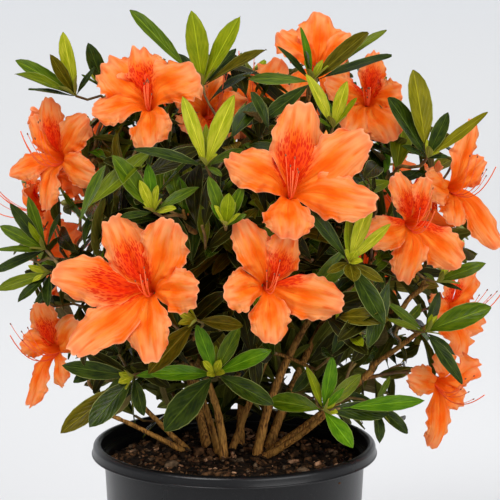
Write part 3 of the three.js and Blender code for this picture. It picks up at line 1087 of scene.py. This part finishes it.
def add_whorl(tip, axis, count, size, tones):
    """Leaves round a shoot's tip: each a golden angle on, the outer ones leaning out more."""
    start = rng.uniform(0, ROUND)
    grown = 0
    for number in range(count):
        share = (number + 0.5) / count
        lean = radians(22 + 56 * share + rng.normal(0, 7))
        out = round_axis(axis, start + number * GOLDEN_ANGLE)
        direction = (axis * cos(lean) + out * sin(lean)).normalized()
        length = size * (0.62 + 0.42 * share ** 0.7) * rng.uniform(0.86, 1.1)
        foot = tip - axis * (0.0005 + 0.010 * share ** 2)
        if leaf_is_free(foot, direction, length):
            tint = tones[0] if share < 0.35 else tones[1]
            tint = tones[2] if rng.uniform() < 0.22 else tint
            add_leaf(foot, direction, axis, length, length * rng.uniform(0.24, 0.34), tint)
            grown += 1
    return grown


# %% [markdown]
# ## Branching
# The crown is grown backwards from its shoots, as a vine looks for light: the shoots nearest to
# the stems are joined first, each to the nearest wood that points its way, and the new wood can
# then carry shoots that lie farther out. The path between is a smooth curve that leaves the old
# wood along its grain and meets the shoot along its axis, with a little wander.

# %% Wood
wood_place, wood_aim, wood_parent, wood_radius_floor = [], [], [], []
wood_runs, bough_radius = [], {}
WOOD_STEP = 0.006
STEM_WOOD_STEP = 6  # mm
LOW_WOOD = 0.175  # below this height a stem is seldom branched
TRIED_WOOD = slice(0, 60, 4)  # of the wood in order of fitness


def add_wood(place, aim, parent, floor=0.0):
    wood_place.append(np.array(place))
    wood_aim.append(np.array(aim))
    wood_parent.append(parent)
    wood_radius_floor.append(floor)
    return len(wood_place) - 1


def seed_wood_from_stems():
    """Wood along every stem, and then along the boughs that go on from them."""
    ends = {}
    for name, stem in STEMS.items():
        steps = max(round(stem["length"] / STEM_WOOD_STEP), 4)
        parent = -1
        for i in range(steps + 1):
            along = stem["length"] * i / steps
            aim = (stem_point(stem, along + 1) - stem_point(stem, along - 1)).normalized()
            parent = add_wood(stem_point(stem, along) * MM, aim, parent, stem_radius(stem, along) * MM)
        ends[name] = parent
    for name, places, (first, last) in BOUGHS:
        add_bough(ends[name], [Vector(place) * MM for place in places], first, last)


def add_bough(start, places, first, last):
    """Wood along set places, from a stem's end, as a smooth run."""
    line = [Vector(wood_place[start])] + places
    run, parent, steps = [start], start, 4
    for leg in range(len(places)):
        before, here, there = line[max(leg - 1, 0)], line[leg], line[leg + 1]
        after = line[min(leg + 2, len(places))]
        leaving, arriving = (there - before) * 0.5, (after - here) * 0.5
        for i in range(1, steps + 1):
            t = i / steps
            place = here * (2 * t ** 3 - 3 * t ** 2 + 1) + there * (3 * t ** 2 - 2 * t ** 3)
            place += leaving * (t ** 3 - 2 * t ** 2 + t) + arriving * (t ** 3 - t ** 2)
            aim = (place - Vector(wood_place[parent])).normalized()
            parent = add_wood(place, aim, parent)
            bough_radius[parent] = (first + (last - first) * ((leg + t) / len(places))) * MM
            run.append(parent)
    wood_runs.append(run)


# %% Joining a shoot to the wood
def wood_by_fitness(goal, aim):
    """The wood a shoot could join, best first: near, and pointing towards it, not away."""
    places, aims = np.array(wood_place), np.array(wood_aim)
    offset = goal - places
    distance = np.linalg.norm(offset, axis=1) + 1e-6
    ahead = (offset * aims).sum(1) / distance
    arriving = offset @ aim / distance
    stem_share = np.array(wood_radius_floor) > 0
    low = np.where(stem_share & (places[:, 2] < LOW_WOOD), 0.03, 0.0)
    cost = distance * (1.5 - 0.45 * ahead - 0.35 * arriving) + low
    cost = np.where(distance < 0.009, cost + 0.02, cost)
    return [int(index) for index in np.argsort(cost)[TRIED_WOOD]]


def path_between(start, goal, aim, wander):
    """Places along a smooth run from old wood to a shoot's foot, with a little wander."""
    p0, p3 = Vector(wood_place[start]), Vector(goal)
    reach = (p3 - p0).length
    p1 = p0 + Vector(wood_aim[start]) * reach * 0.34
    p2 = p3 - Vector(aim) * reach * 0.36
    steps = max(int(reach / WOOD_STEP), 3)
    phase = rng.uniform(0, 40)
    path = []
    for i in range(1, steps + 1):
        t = i / steps
        place = p0 * (1 - t) ** 3 + p1 * 3 * t * (1 - t) ** 2 + p2 * 3 * t * t * (1 - t) + p3 * t ** 3
        spots = [Vector((phase + t * reach * 45, phase, 10.5 * side)) for side in range(3)]
        sway = Vector([noise.noise(spot) for spot in spots])
        path.append(place + sway * 0.0022 * wander * sin(pi * t))
    return path


def grow_to(goal, aim, wander):
    """Joins a shoot's foot to the wood by a run that keeps out of the flowers."""
    ranked = wood_by_fitness(np.array(goal), np.array(aim))
    for start in ranked:
        path = path_between(start, goal, aim, wander)
        if not in_open_face(np.array(path), 0.95, 0, -0.002, 0.045):
            break
    else:
        start = ranked[0]
        path = path_between(start, goal, aim, wander)
    run = [start]
    for place in path:
        aim_here = (place - Vector(wood_place[run[-1]])).normalized()
        run.append(add_wood(place, aim_here, run[-1]))
    wood_runs.append(run)


# %% [markdown]
# ## Shoots of the crown
# First the shoots that are seen best, with every leaf aimed at its own place; then the flowers'
# stalks; then a few hundred shoots by rule, thickest in the outer shell of each foliage mass.

# %% Placed shoots
STEMS_HEART = Vector((0.0, 0.01, 0.19))
LONGEST_LEAF = 0.046
YOUNG_LEAVES = 4  # in a shoot's heart
TOWARDS_EYE, LOOKS_TO_EYE = Vector((0, -0.35, 0.1)), Vector((0, -0.5, 0.25))


def placed_shoot(base, y, tips):
    """Wood to the shoot's foot, and each leaf from there, or from a short side twig."""
    tip = seen_at(*base, y)
    toward = (tip - STEMS_HEART).normalized()
    goals = [seen_at(across, down, y - nearer) for across, down, _, nearer, _ in tips]
    middle = sum(((goal - tip).normalized() for goal in goals), Vector())
    axis = (toward * 1.2 + middle.normalized() * 0.8 + TOWARDS_EYE).normalized()
    shoots.append((tip, axis))
    for goal, (_, _, tint, _, slimness) in zip(goals, tips):
        direction = (goal - tip).normalized()
        length = (goal - tip).length
        foot = tip
        if length > LONGEST_LEAF + 0.001:
            foot = goal - direction * LONGEST_LEAF
            shoots.append((foot - direction * 0.002, direction))
            length = LONGEST_LEAF
        looks = (axis - direction * axis.dot(direction) + LOOKS_TO_EYE).normalized()
        width = max(length * slimness, 0.004)
        add_leaf(foot, direction, looks, length, width, tint, rng.uniform(-0.1, 0.25))
    for number in range(YOUNG_LEAVES):
        direction = (axis + round_axis(axis, number * 1.7) * 0.55).normalized()
        add_leaf(tip, direction, axis, rng.uniform(0.009, 0.016), 0.005, "Y", 0.1)


shoots = []
for seen in SEEN_SHOOTS.values():
    placed_shoot(*seen)
print("leaves placed by eye:", len(leaves))

# %% [markdown]
# The shoots by rule are dealt over the foliage masses in proportion to their size. Each sits in
# the outer part of its mass and points away from the heart of the crown, a little upwards.

# %% Shoots by rule
FOLIAGE = sorted(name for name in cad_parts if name.startswith("foliage_"))
HEART = Vector((0.004, 0.01, 0.235))  # of the crown
SHOOT_COUNT = 400
# The low shoots lie in shade under the crown; their dark tints are painted shade.
LOW_SHOOTS = 110  # dark shoots close over the mix, behind the stems
# Tints of a shoot's inner leaves, outer leaves and odd ones; then how often each row is dealt.
TONES = (
    ("G", "M", "E"), ("F", "D", "K"), ("M", "D", "E"), ("D", "E", "K"), ("G", "N", "M"), ("Y", "F", "N"),
    ("N", "E", "K"),
)
# Front shoots get darker tints: painted shade in the gaps round the placed shoots.
FRONT_CHANCES = (0.04, 0.08, 0.22, 0.34, 0.06, 0.02, 0.24)  # darker, round the placed shoots
BACK_CHANCES = (0.17, 0.20, 0.20, 0.15, 0.13, 0.07, 0.08)
# The second is how near the heart a shoot must be to get the darkest tints, as painted shade.
SHOOT_GAP, SHADE_PAINTED_WITHIN, FRONT = 0.013, 0.075, 0.02  # in m; deep is how near the heart, front is in y
LOW_BOX = ((-0.066, 0.074), (0.034, 0.100), (0.166, 0.206))
LEAF_SIZES = (0.034, 0.044)


def shoot_by_rule(low, high):
    """A place in the shell of a mass and a direction, both seeded."""
    middle, half = (low + high) / 2, (high - low) / 2
    way = Vector(rng.normal(0, 1, 3)).normalized()
    depth = rng.uniform(0.35, 1.0) ** 0.5 * 0.9
    place = middle + Vector((way.x * half.x, way.y * half.y, way.z * half.z)) * depth
    outwards = (place - HEART).normalized() + way * 0.25
    return place, (outwards + Vector(rng.normal(0, 0.28, 3)) + UP * 0.28).normalized()


def low_shoot():
    """A place close over the mix and a direction, nearly level."""
    place = Vector([rng.uniform(*ends) for ends in LOW_BOX])
    return place, (Vector((place.x, place.y * 0.5, 0.05)) + Vector(rng.normal(0, 0.02, 3))).normalized()


def grow_shoots_by_rule():
    boxes = [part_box(name) for name in FOLIAGE]
    sizes = np.array([(high.x - low.x) * (high.y - low.y) * (high.z - low.z) for low, high in boxes])
    shares = sizes ** 0.75 / (sizes ** 0.75).sum()
    kept = 0
    for turn in range(SHOOT_COUNT * 4):
        if kept >= SHOOT_COUNT:
            break
        place, axis = shoot_by_rule(*boxes[rng.choice(len(boxes), p=shares)])
        if turn < LOW_SHOOTS:
            place, axis = low_shoot()
        seen = in_picture(place)
        crowded = any((place - other).length < SHOOT_GAP for other, _ in shoots)
        if crowded or not within(CROWN_OUTLINE, *seen) or in_sky(*seen):
            continue
        # Painted shade: shoots near the heart and low over the mix get the darkest tints.
        deep = (place - HEART).length < SHADE_PAINTED_WITHIN or turn < LOW_SHOOTS
        chances = FRONT_CHANCES if place.y < FRONT else BACK_CHANCES
        tones = TONES[3] if deep else TONES[rng.choice(len(TONES), p=chances)]
        grown = add_whorl(place, axis, int(rng.integers(6, 10)), rng.uniform(*LEAF_SIZES), tones)
        if grown >= 2:
            shoots.append((place, axis))
            kept += 1
    return kept


print("shoots by rule:", grow_shoots_by_rule(), "leaves:", len(leaves))

# %% [markdown]
# Flowers stand on stalks, so their feet join the wood too. Everything is sorted from the heart
# outwards before it grows, so that limbs come before the twigs they carry.

# %% Grow the wood
TWIG_TIP = 0.00078  # radius in m
PIPE_POWER, PIPE_GAIN = 2.35, 1.012
THICKEST_TWIG, LIMB = 0.0022, 0.00125


def wood_radii(run_starts):
    """Radius by the pipe rule: where runs join, their powers add; stems keep their own."""
    load = np.zeros(len(wood_place))
    for index in range(len(wood_place) - 1, -1, -1):
        load[index] = max(load[index], TWIG_TIP ** PIPE_POWER)
        if wood_parent[index] >= 0:
            tip = load[index] if index in run_starts else load[index] * PIPE_GAIN
            load[wood_parent[index]] += tip
    return load ** (1 / PIPE_POWER)


def grow_all():
    seed_wood_from_stems()
    goals = [(place, axis, 1.0) for place, axis in shoots]
    goals += [(flower.base(), flower.axis, 0.4) for flower in flowers]
    goals += [(seen_at(across, down, y), UP, 0.5) for across, down, y, _ in BUDS]
    origin = Vector((0.0, 0.012, 0.16))
    goals.sort(key=lambda goal: (goal[0] - origin).length)
    for goal in goals:
        grow_to(*goal)


def young_bark():
    finish, shader = new_finish("young_bark", 0.6)
    share = fade(cloudy(own_coordinates(shader, 240, 240, 240)), 0.35, 0.65)
    feed(shader, {"Base Color": blend(share, (0.085, 0.038, 0.007), (0.20, 0.125, 0.022))})
    return finish


def make_wood():
    radii = wood_radii({run[1] for run in wood_runs})
    limbs, twigs = [], []
    for run in wood_runs:
        width = [max(min(radii[index], THICKEST_TWIG), bough_radius.get(index, 0.0)) for index in run]
        width[0] = min(width[1] * 1.25, max(wood_radius_floor[run[0]], radii[run[0]], width[1]))
        line = [(wood_place[index], radius) for index, radius in zip(run, width)]
        (limbs if width[1] > LIMB else twigs).append(line)
    brown_bark = bark_finish("brown_bark", (0.07, 0.027, 0.005), (0.33, 0.155, 0.030), (0.30, 0.17, 0.030))
    for name, lines, sides, finish in (("boughs", limbs, 2, brown_bark), ("twigs", twigs, 1, young_bark())):
        mesh = tube_mesh(name, lines, sides)
        roughen(mesh, 0.00012, 0.002)
        show_piece(name, mesh, FOLIAGE, finish)


grow_all()
make_wood()

# %% [markdown]
# ## Leaf finishes
# Leaves are dealt nine plain greens and browns by shoot. The pattern on each follows the leaf: a
# pale midrib, faint side veins that run forward, a thin light margin and soft mottling. The
# lower face is paler and dull. Young leaves let more light through.

# %% Leaf finishes
LEAF_TONES = {
    "D": ((0.010, 0.021, 0.001), (0.030, 0.050, 0.002)),
    "E": ((0.010, 0.010, 0.001), (0.024, 0.021, 0.001)),
    "M": ((0.045, 0.085, 0.002), (0.090, 0.140, 0.003)),
    "N": ((0.080, 0.110, 0.002), (0.130, 0.160, 0.004)),
    "F": ((0.060, 0.165, 0.002), (0.115, 0.250, 0.004)),
    "G": ((0.180, 0.235, 0.002), (0.280, 0.320, 0.006)),
    "Y": ((0.330, 0.370, 0.006), (0.500, 0.490, 0.030)),
    "O": ((0.130, 0.120, 0.001), (0.200, 0.175, 0.003)),
    "K": ((0.050, 0.042, 0.001), (0.105, 0.082, 0.003)),
}
UNDER_TONES = {
    "under_grown": ((0.075, 0.085, 0.008), (0.140, 0.150, 0.018)),
    "under_young": ((0.280, 0.290, 0.030), (0.390, 0.380, 0.070)),
    "under_bronze": ((0.170, 0.130, 0.040), (0.250, 0.190, 0.070)),
}
TINTS = list(LEAF_TONES)
UNDER_OF = {"Y": 1, "G": 1, "O": 2, "K": 2}  # the others have the first
LEAF_MARGIN = (0.30, 0.33, 0.09)


def let_light_through(shader, tone, share):
    """Adds light that comes through from behind, in the leaf's or petal's own colour."""
    through = add_node("BsdfTranslucent", {"Color": tone})
    both = add_node("MixShader", {0: share, 1: Wire(shader.outputs[0]), 2: through})
    feed(shader.id_data.nodes["Material Output"], {"Surface": both})


def leaf_finish(name, tones, seed, reflection, thin, under=False):
    finish, shader = new_finish(name, 0.62 if under else 0.26, reflection)
    feed(shader, {"IOR": 1.3})
    along, across = surface_map(shader, "leaf_map")
    out = abs(across - 0.5)
    veins = abs(((along * 44.0 - out * 40.0) * 0.5).calc("SINE")) ** 7.0
    veins = 1.0 - (1.0 - veins) ** 3.0 if under else veins
    midrib = fade(out, 0.045, 0.012)
    where = add_node("CombineXYZ", {"X": along, "Y": across, "Z": float(seed)})
    tone = blend(fade(cloudy(where, 4.0, 5.0), 0.34, 0.66), *tones)
    lighter = tuple(min(part * 1.9 + extra, 1.0) for part, extra in zip(tones[1], (0.03, 0.035, 0.008)))
    tone = blend(midrib * 0.65, tone, lighter)
    tone = blend(veins * 0.10, tone, lighter)
    tone = blend(fade(out, 0.455, 0.492) * 0.6, tone, LEAF_MARGIN)
    feed(shader, {"Base Color": tone})
    raise_relief(shader, (midrib + veins * 0.25) * (1.0 if under else -1.0), 0.0006)
    let_light_through(shader, tone, thin)
    return finish


def leaf_finishes():
    made = []
    for seed, (tint, tones) in enumerate(LEAF_TONES.items()):
        reflection, thin = 0.15 if tint in "EK" else 0.3, 0.28 if tint in "YGF" else 0.14
        made.append(leaf_finish(f"leaf_{tint.lower()}", tones, seed, reflection, thin))
    for seed, (name, tones) in enumerate(UNDER_TONES.items()):
        made.append(leaf_finish(f"leaf_{name}", tones, seed + 20, 0.2, 0.2, under=True))
    return made


finishes = leaf_finishes()
print("leaf finishes:", len(finishes))


# %% Make the leaves
def leaf_frame(direction, face):
    """A leaf's own axes: along it, across it, and up from its upper face."""
    up = face - direction * face.dot(direction)
    up = up.normalized() if up.length > 1e-3 else direction.orthogonal().normalized()
    return np.array([direction, up.cross(direction), up])


def make_leaves(name, listed, finishes):
    foot, direction, face, length, width, tint, curl, keel = zip(*listed)
    local = leaf_points(length, width, curl, keel, rng.uniform(0, 6.28, len(listed)))
    frames = np.array([leaf_frame(*ways) for ways in zip(direction, face)])
    copies = np.einsum("npc,ncd->npd", local, frames) + np.array(foot)[:, None, :]
    upper = np.array([TINTS.index(own) for own in tint])
    lower = np.array([len(TINTS) + UNDER_OF.get(own, 0) for own in tint])
    flat = np.tile(leaf.flat, (len(listed), 1, 1))
    mesh = joined_sheets(name, leaf, copies, finishes, upper, lower, flat, "leaf_map")
    show_piece(name, mesh, FOLIAGE)


for number, name in enumerate(("leaves_first", "leaves_second", "leaves_third")):
    make_leaves(name, leaves[number::3], finishes)

# %% [markdown]
# ## Flowers
# An azalea flower is a short tube that opens into five broad lobes with waved margins. The
# midline of a lobe starts along the axis, turns outward at the throat and ends a little past
# square to it. In the tube the lobe wraps round the axis, and beyond it the lobe is a broad
# sheet: rows of points bow back towards the corners, which rounds the end.

# %% Lobes
TUBE_SHARE = 0.3  # of a lobe's length
LOBE_ROWS, LOBE_COLUMNS = 36, 16
lobe = sheet_pair(LOBE_ROWS, LOBE_COLUMNS, (0, 0.15, 1), (0, TUBE_SHARE, 1))
CALYX_RADIUS = 0.5 * MM
WIDEST = 0.62  # share of a lobe's length where it is widest
SPREAD = 73  # degrees between a lobe and the axis, once it is open
FULL_WIDTH = 0.0135  # narrower lobes are waved less


def smooth(value, start, end):
    share = np.clip((value - start) / (end - start), 0, 1)
    return share * share * (3 - 2 * share)


def lobe_midline(reach, curl, spread):
    """Distance out, height and slope of a lobe's midline, for along from 0 to 1."""
    along = np.linspace(0, 1, 201)
    slope = np.radians(14 + 10 * smooth(along, 0.05, 0.3) + (spread - 24) * smooth(along, 0.25, 0.55))
    slope += np.radians(curl) * smooth(along, 0.55, 1.0)
    in_tube = along < TUBE_SHARE
    pace = np.where(in_tube, TUBE * MM / TUBE_SHARE, 0.0)
    step = along[1]
    out_of_tube = CALYX_RADIUS + (np.sin(slope) * pace).sum() * step
    free = (np.sin(slope) * ~in_tube).sum() * step
    pace = np.where(in_tube, pace, (reach - out_of_tube) / free)
    out = CALYX_RADIUS + np.cumsum(np.sin(slope) * pace) * step
    height = np.cumsum(np.cos(slope) * pace) * step
    height -= height[int(TUBE_SHARE * 200)]
    return along, out, height, slope


def ripple(over, slow, fast):
    """A sine wave over some values, with its pace between two bounds and any phase."""
    return np.sin(over * rng.uniform(slow, fast) + rng.uniform(0, 6.28))


print("lobe faces:", len(lobe.sizes), "points:", len(lobe.points))


# %% Waves, and a lobe's points
def lobe_lift(width, along, across, opened):
    """How far a lobe's waves, folds and midrib lift it, in m."""
    polar = np.arctan2(across, (along - 0.5) * 2.2)
    rim = np.maximum(np.abs(across) ** 2.0, smooth(along, 0.7, 1.0)) * opened
    waves = ripple(polar, 4.5, 6.5) * 2.2
    waves += ripple(polar, 10, 14) * 1.7
    waves *= 1 - 0.55 * np.exp(-((polar / 0.5) ** 2))
    waves += ripple(polar, 19, 24) * 1.7 * across ** 4
    folds = np.cos(across * rng.uniform(6, 9) + rng.uniform(-0.6, 0.6)) * (1 - across ** 2)
    sway = ripple(along, 6, 9) * smooth(along, 0.4, 0.8)
    calm = min(width / FULL_WIDTH, 1.0) ** 1.5
    lift = (waves * rim - folds * 1.4 * opened + sway * 1.3) * calm * MM
    lift -= 0.0022 * np.exp(-((across / 0.16) ** 2)) * smooth(along, 0.25, 0.5) * (1.1 - along)
    lift += 0.0020 * across * opened - 0.0034 * across ** 2 * opened
    return lift


def lobe_points(flower, angle, reach, width, half_gaps):
    """One lobe's points in the world, with its own folds and waves."""
    along, across = lobe.along, lobe.across
    past = np.clip((along - WIDEST) / (1 - WIDEST), 0, 1)
    rounded = WIDEST + (1 - WIDEST) * past * np.sqrt(1 - across ** 2 / 2)
    bowed = np.where(along > WIDEST, rounded, along)
    line = lobe_midline(reach, rng.uniform(8, 40), SPREAD + rng.uniform(-5, 5))
    opened = smooth(along, 0.28, 0.52)
    blade = (0.50 + 0.50 * smooth(along, 0.3, WIDEST)) * np.sqrt(1 - past ** 2 / 2)
    frill = np.sin(along * rng.uniform(33, 44) + np.sign(across) * rng.uniform(0, 3))
    blade *= 1 + 0.055 * min(width / FULL_WIDTH, 1.0) * frill * np.abs(across) ** 3
    bowed = bowed + 0.016 * ripple(across, 8, 13) * past ** 2
    out, height, slope = (np.interp(bowed, line[0], values) for values in line[1:])
    wrap = across * np.where(across > 0, half_gaps[1], half_gaps[0]) * 1.06
    around = np.stack([out * np.cos(wrap), out * np.sin(wrap)], axis=1)
    straight = np.stack([out, width * blade * across], axis=1)
    flat = around * (1 - opened[:, None]) + straight * opened[:, None]
    flat[:, 1] += rng.normal(0, 0.0016) * np.sin(along * 5) * opened
    lift = lobe_lift(width, along, across, opened) + lobe.side * 0.00018
    flat[:, 0] -= lift * np.cos(slope)
    height = height + lift * np.sin(slope)
    forward, sideways = cos(angle), sin(angle)
    up = flat[:, 0] * forward - flat[:, 1] * sideways
    side = flat[:, 0] * sideways + flat[:, 1] * forward
    axes = np.array([flower.up, flower.side, flower.axis])
    return np.stack([up, side, height], axis=1) @ axes + np.array(flower.throat)


# %% [markdown]
# Petal finish: deep orange-red in the throat, golden orange beyond it, coral towards a thin
# margin lit by a painted highlight. Long ridges are painted lighter and the grooves between them
# darker, painted highlight and shade; the lobes' outer halves are paler, partly their own colour
# and partly painted highlight. Fine veins fan out from a red midrib. The upper lobe has a blotch
# of red flecks, the cells of a stretched Voronoi pattern, and the lobes beside it a few on their
# near side.

# %% Petal finishes
def stretched(along, across, place=0.0):
    """Coordinates along and across a petal."""
    return add_node("CombineXYZ", {"X": along, "Y": across, "Z": place})


# Where flecks end: from and to along the petal, from and to across it, and on one side only.
BLOTCH = ((0.86, 0.46), (1.0, 0.3), False)
FRECKLES = ((0.66, 0.36), (0.45, 0.9), True)


def petal_finish(name, flecks_at=None, back=False):
    finish, shader = new_finish(name, 0.5, 0.09)
    along, across = surface_map(shader, "petal_map")
    out = abs(across - 0.5) * 2.0
    mottle = cloudy(stretched(along * 4.5, across * 3.6), 4.0)
    rays = cloudy(stretched(along * 1.6, across * 26.0, 3.0))
    # Long ridges: they raise the relief, and are also painted lighter on top and darker between.
    ridges_and_painted_light = cloudy(stretched(along * 2.6, across * 5.5, 9.0))
    pale_and_painted_highlight = fade(out, 0.10, 0.75).or_more(fade(along, 0.62, 0.92)) * fade(along, 0.38, 0.62)
    edge = (out ** 4.0).or_more(fade(along, 0.80, 1.0)) + (mottle - 0.5) * 0.9
    rim = fade(out, 0.94, 1.0).or_more(fade(along, 0.965, 1.0))
    tone = blend(fade(mottle, 0.35, 0.65), (0.99, 0.182, 0.002), (1.0, 0.315, 0.024))
    layers = [
        (fade(rays, 0.5, 0.68) * 0.35, (0.96, 0.160, 0.010)),
        # Painted highlight on the ridges, then painted shade in the grooves between them.
        (fade(ridges_and_painted_light, 0.46, 0.72) * 0.45, (1.0, 0.44, 0.11)),
        (fade(ridges_and_painted_light, 0.46, 0.30) * 0.40, (0.98, 0.150, 0.003)),
        # Pale peach on the lobes' outer halves: partly the petal's own colour, partly painted highlight.
        (pale_and_painted_highlight * fade(ridges_and_painted_light + rays * 0.3, 0.45, 0.78) * 0.85, (1.0, 0.50, 0.19)),
        (fade(edge, 0.45, 1.0) * 0.5, (1.0, 0.29, 0.115)),
        # Painted highlight along the thin margin of each lobe.
        (rim * 0.8, (1.0, 0.56, 0.29)),
        (fade(out, 0.06, 0.01) * fade(along, 0.95, 0.5) * 0.5, (0.95, 0.120, 0.006)),
        (fade(along, 0.50, 0.24) * 0.85, (0.99, 0.165, 0.003)),
    ]
    if back:
        layers.append((0.30, (1.0, 0.220, 0.035)))
    if flecks_at:
        ends, sides, one_sided = flecks_at
        patch = fade(along, *ends) * fade(across if one_sided else out, *sides) * fade(along, 0.20, 0.32)
        cells = add_node("TexVoronoi", {"Vector": stretched(along * 22.0, across * 34.0), "Scale": 1.0})
        flecks = fade(cells, 0.60, 0.36) * fade(patch, 0.0, 0.5)
        layers += [(patch * 0.9, (0.93, 0.050, 0.002)), (flecks * 0.9, (0.74, 0.016, 0.002))]
    for share, colour in layers:
        tone = blend(share, tone, colour)
    feed(shader, {"Base Color": tone})
    crimps = (along * 60.0 + mottle * 14.0).calc("SINE") * out ** 3.0
    raise_relief(shader, rays + ridges_and_painted_light * 1.5 + crimps * 0.6, 0.0009, 0.7)
    let_light_through(shader, tone, 0.50)
    return finish


petal_finishes = [
    petal_finish("petal"), petal_finish("petal_blotched", BLOTCH),
    petal_finish("petal_freckled", FRECKLES), petal_finish("petal_back", back=True),
]
print("petal finishes:", len(petal_finishes))


# %% Make the petals
def lobe_marks(lobes):
    """For each lobe its mark (0 plain, 1 blotched, 2 beside a blotch) and whether it is mirrored."""
    order = sorted(range(len(lobes)), key=lambda index: lobes[index][0])
    marks = [(int(bool(lobe[2])), False) for lobe in lobes]
    for place, index in enumerate(order):
        if not lobes[index][2]:
            continue
        for beside, mirrored in ((order[place - 1], False), (order[(place + 1) % len(order)], True)):
            if not lobes[beside][2]:
                marks[beside] = (2, mirrored)
    return marks


def make_lobes(name, chosen, finishes):
    copies, marks = [], []
    for flower in chosen:
        size = min(1.0, max(0.8, flower.reach() / 0.044))
        for angle, reach, _, share in flower.lobes:
            width = rng.uniform(0.0132, 0.0146) * share * size
            half_gaps = [flower.half_gap(angle, way) for way in (-1, 1)]
            copies.append(lobe_points(flower, angle, reach, width, half_gaps))
        marks += lobe_marks(flower.lobes)
    upper, mirrored = (np.array(row) for row in zip(*marks))
    flat = np.tile(lobe.flat, (len(copies), 1, 1))
    flat[mirrored, :, 1] = 1 - flat[mirrored, :, 1]
    lower = np.full(len(copies), len(finishes) - 1)
    mesh = joined_sheets(name, lobe, np.array(copies), finishes, upper, lower, flat, "petal_map")
    show_piece(name, mesh, FOLIAGE)


make_lobes("petals_front", flowers[:len(FACING_FLOWERS)], petal_finishes)
make_lobes("petals_behind", flowers[len(FACING_FLOWERS):], petal_finishes)

# %% [markdown]
# ## Stamens, calyx and buds
# Long filaments leave the throat together, dip and then sweep upwards, each with a dark anther;
# the style among them is longest. A small green cup holds the tube. Filaments are tubes along
# curves, and an anther is a small stretched ball.

# %% Stamens and calyx
STAMEN_STEPS, STAMENS_EACH = 12, 5
ANTHER = (0.0009, 0.00042)  # half its length and half its width


def plain_finish(name, tone, roughness=0.5):
    finish, shader = new_finish(name, roughness)
    feed(shader, {"Base Color": tone})
    return finish


def stamen_path(flower, spread, around, length, sweep=1.0):
    """A filament: from the tube's foot out through the throat, sagging, then rising."""
    side = flower.up * cos(around) + flower.side * sin(around)
    path = []
    for step in range(STAMEN_STEPS + 1):
        share = step / STAMEN_STEPS
        forward = -0.8 * TUBE * MM + length * share
        drift = spread * share ** 1.5
        rise = (0.015 * sweep * share ** 3 - 0.006 * sin(pi * share)) * length / 0.05
        path.append(flower.throat + flower.axis * forward + side * drift + flower.up * rise)
    return path


def anther_frame(path):
    """An anther's own half-axes, along the end of its filament and across it."""
    aim = (path[-1] - path[-2]).normalized()
    across = aim.orthogonal().normalized()
    return np.array([aim * ANTHER[0], across * ANTHER[1], aim.cross(across) * ANTHER[1]])


def make_stamens():
    filaments, anthers, styles = [], [], []
    ball = bmesh.new()
    bmesh.ops.create_icosphere(ball, subdivisions=1, radius=1.0)
    ball = Template(ball)
    for flower in flowers:
        for _ in range(STAMENS_EACH):
            length = flower.stamens * MM * rng.uniform(0.84, 1.12)
            spread, around = rng.uniform(0.05, 0.24) * length, rng.uniform(0, ROUND)
            path = stamen_path(flower, spread, around, length, rng.uniform(0.4, 1.7))
            filaments.append([(place, 0.00026 - 0.00008 * i / STAMEN_STEPS) for i, place in enumerate(path)])
            anthers.append(ball.points @ anther_frame(path) + np.array(path[-1]))
        path = stamen_path(flower, 0.004, pi, flower.stamens * 1.28 * MM)
        styles.append([(place, 0.00032) for place in path])
    mesh = tube_mesh("filaments", filaments + styles, 1)
    show_piece("filaments", mesh, FOLIAGE, plain_finish("filament", (0.92, 0.14, 0.035)))
    dark = plain_finish("anther", (0.22, 0.06, 0.02), 0.8)
    faces = np.zeros(len(anthers) * len(ball.sizes), dtype=int)
    show_piece("anthers", joined("anthers", ball, np.array(anthers), [dark], faces, {}), FOLIAGE)


make_stamens()

# %% Calyces and buds
CALYX_WIDTHS = (0.0008, 0.0014, 0.0021, 0.0019, 0.0011)


def make_calyces():
    cups = []
    for flower in flowers:
        foot = flower.base() - flower.axis * 0.004
        cups.append([(foot + flower.axis * 0.0013 * i, width) for i, width in enumerate(CALYX_WIDTHS)])
    green = plain_finish("calyx", (0.17, 0.20, 0.03))
    show_piece("calyces", tube_mesh("calyces", cups, 3), FOLIAGE, green)


def make_buds():
    """Pointed buds: a ball drawn out to a tip and slightly furled."""
    shape = bmesh.new()
    for across, down, y, size in BUDS:
        ball = bmesh.ops.create_uvsphere(shape, u_segments=16, v_segments=10, radius=1.0)["verts"]
        place = seen_at(across, down, y) + UP * size * 0.8
        for vert in ball:
            x, y, z = vert.co
            fat = 0.42 * (1 - 0.35 * z) * (1 + 0.10 * cos(5 * atan2(y, x) + 3 * z))
            vert.co = place + Vector((x * fat, y * fat, z)) * size
    orange = plain_finish("bud", (0.96, 0.33, 0.05))
    show_piece("buds", mesh_from(shape, "buds"), FOLIAGE, orange)


make_calyces()
make_buds()
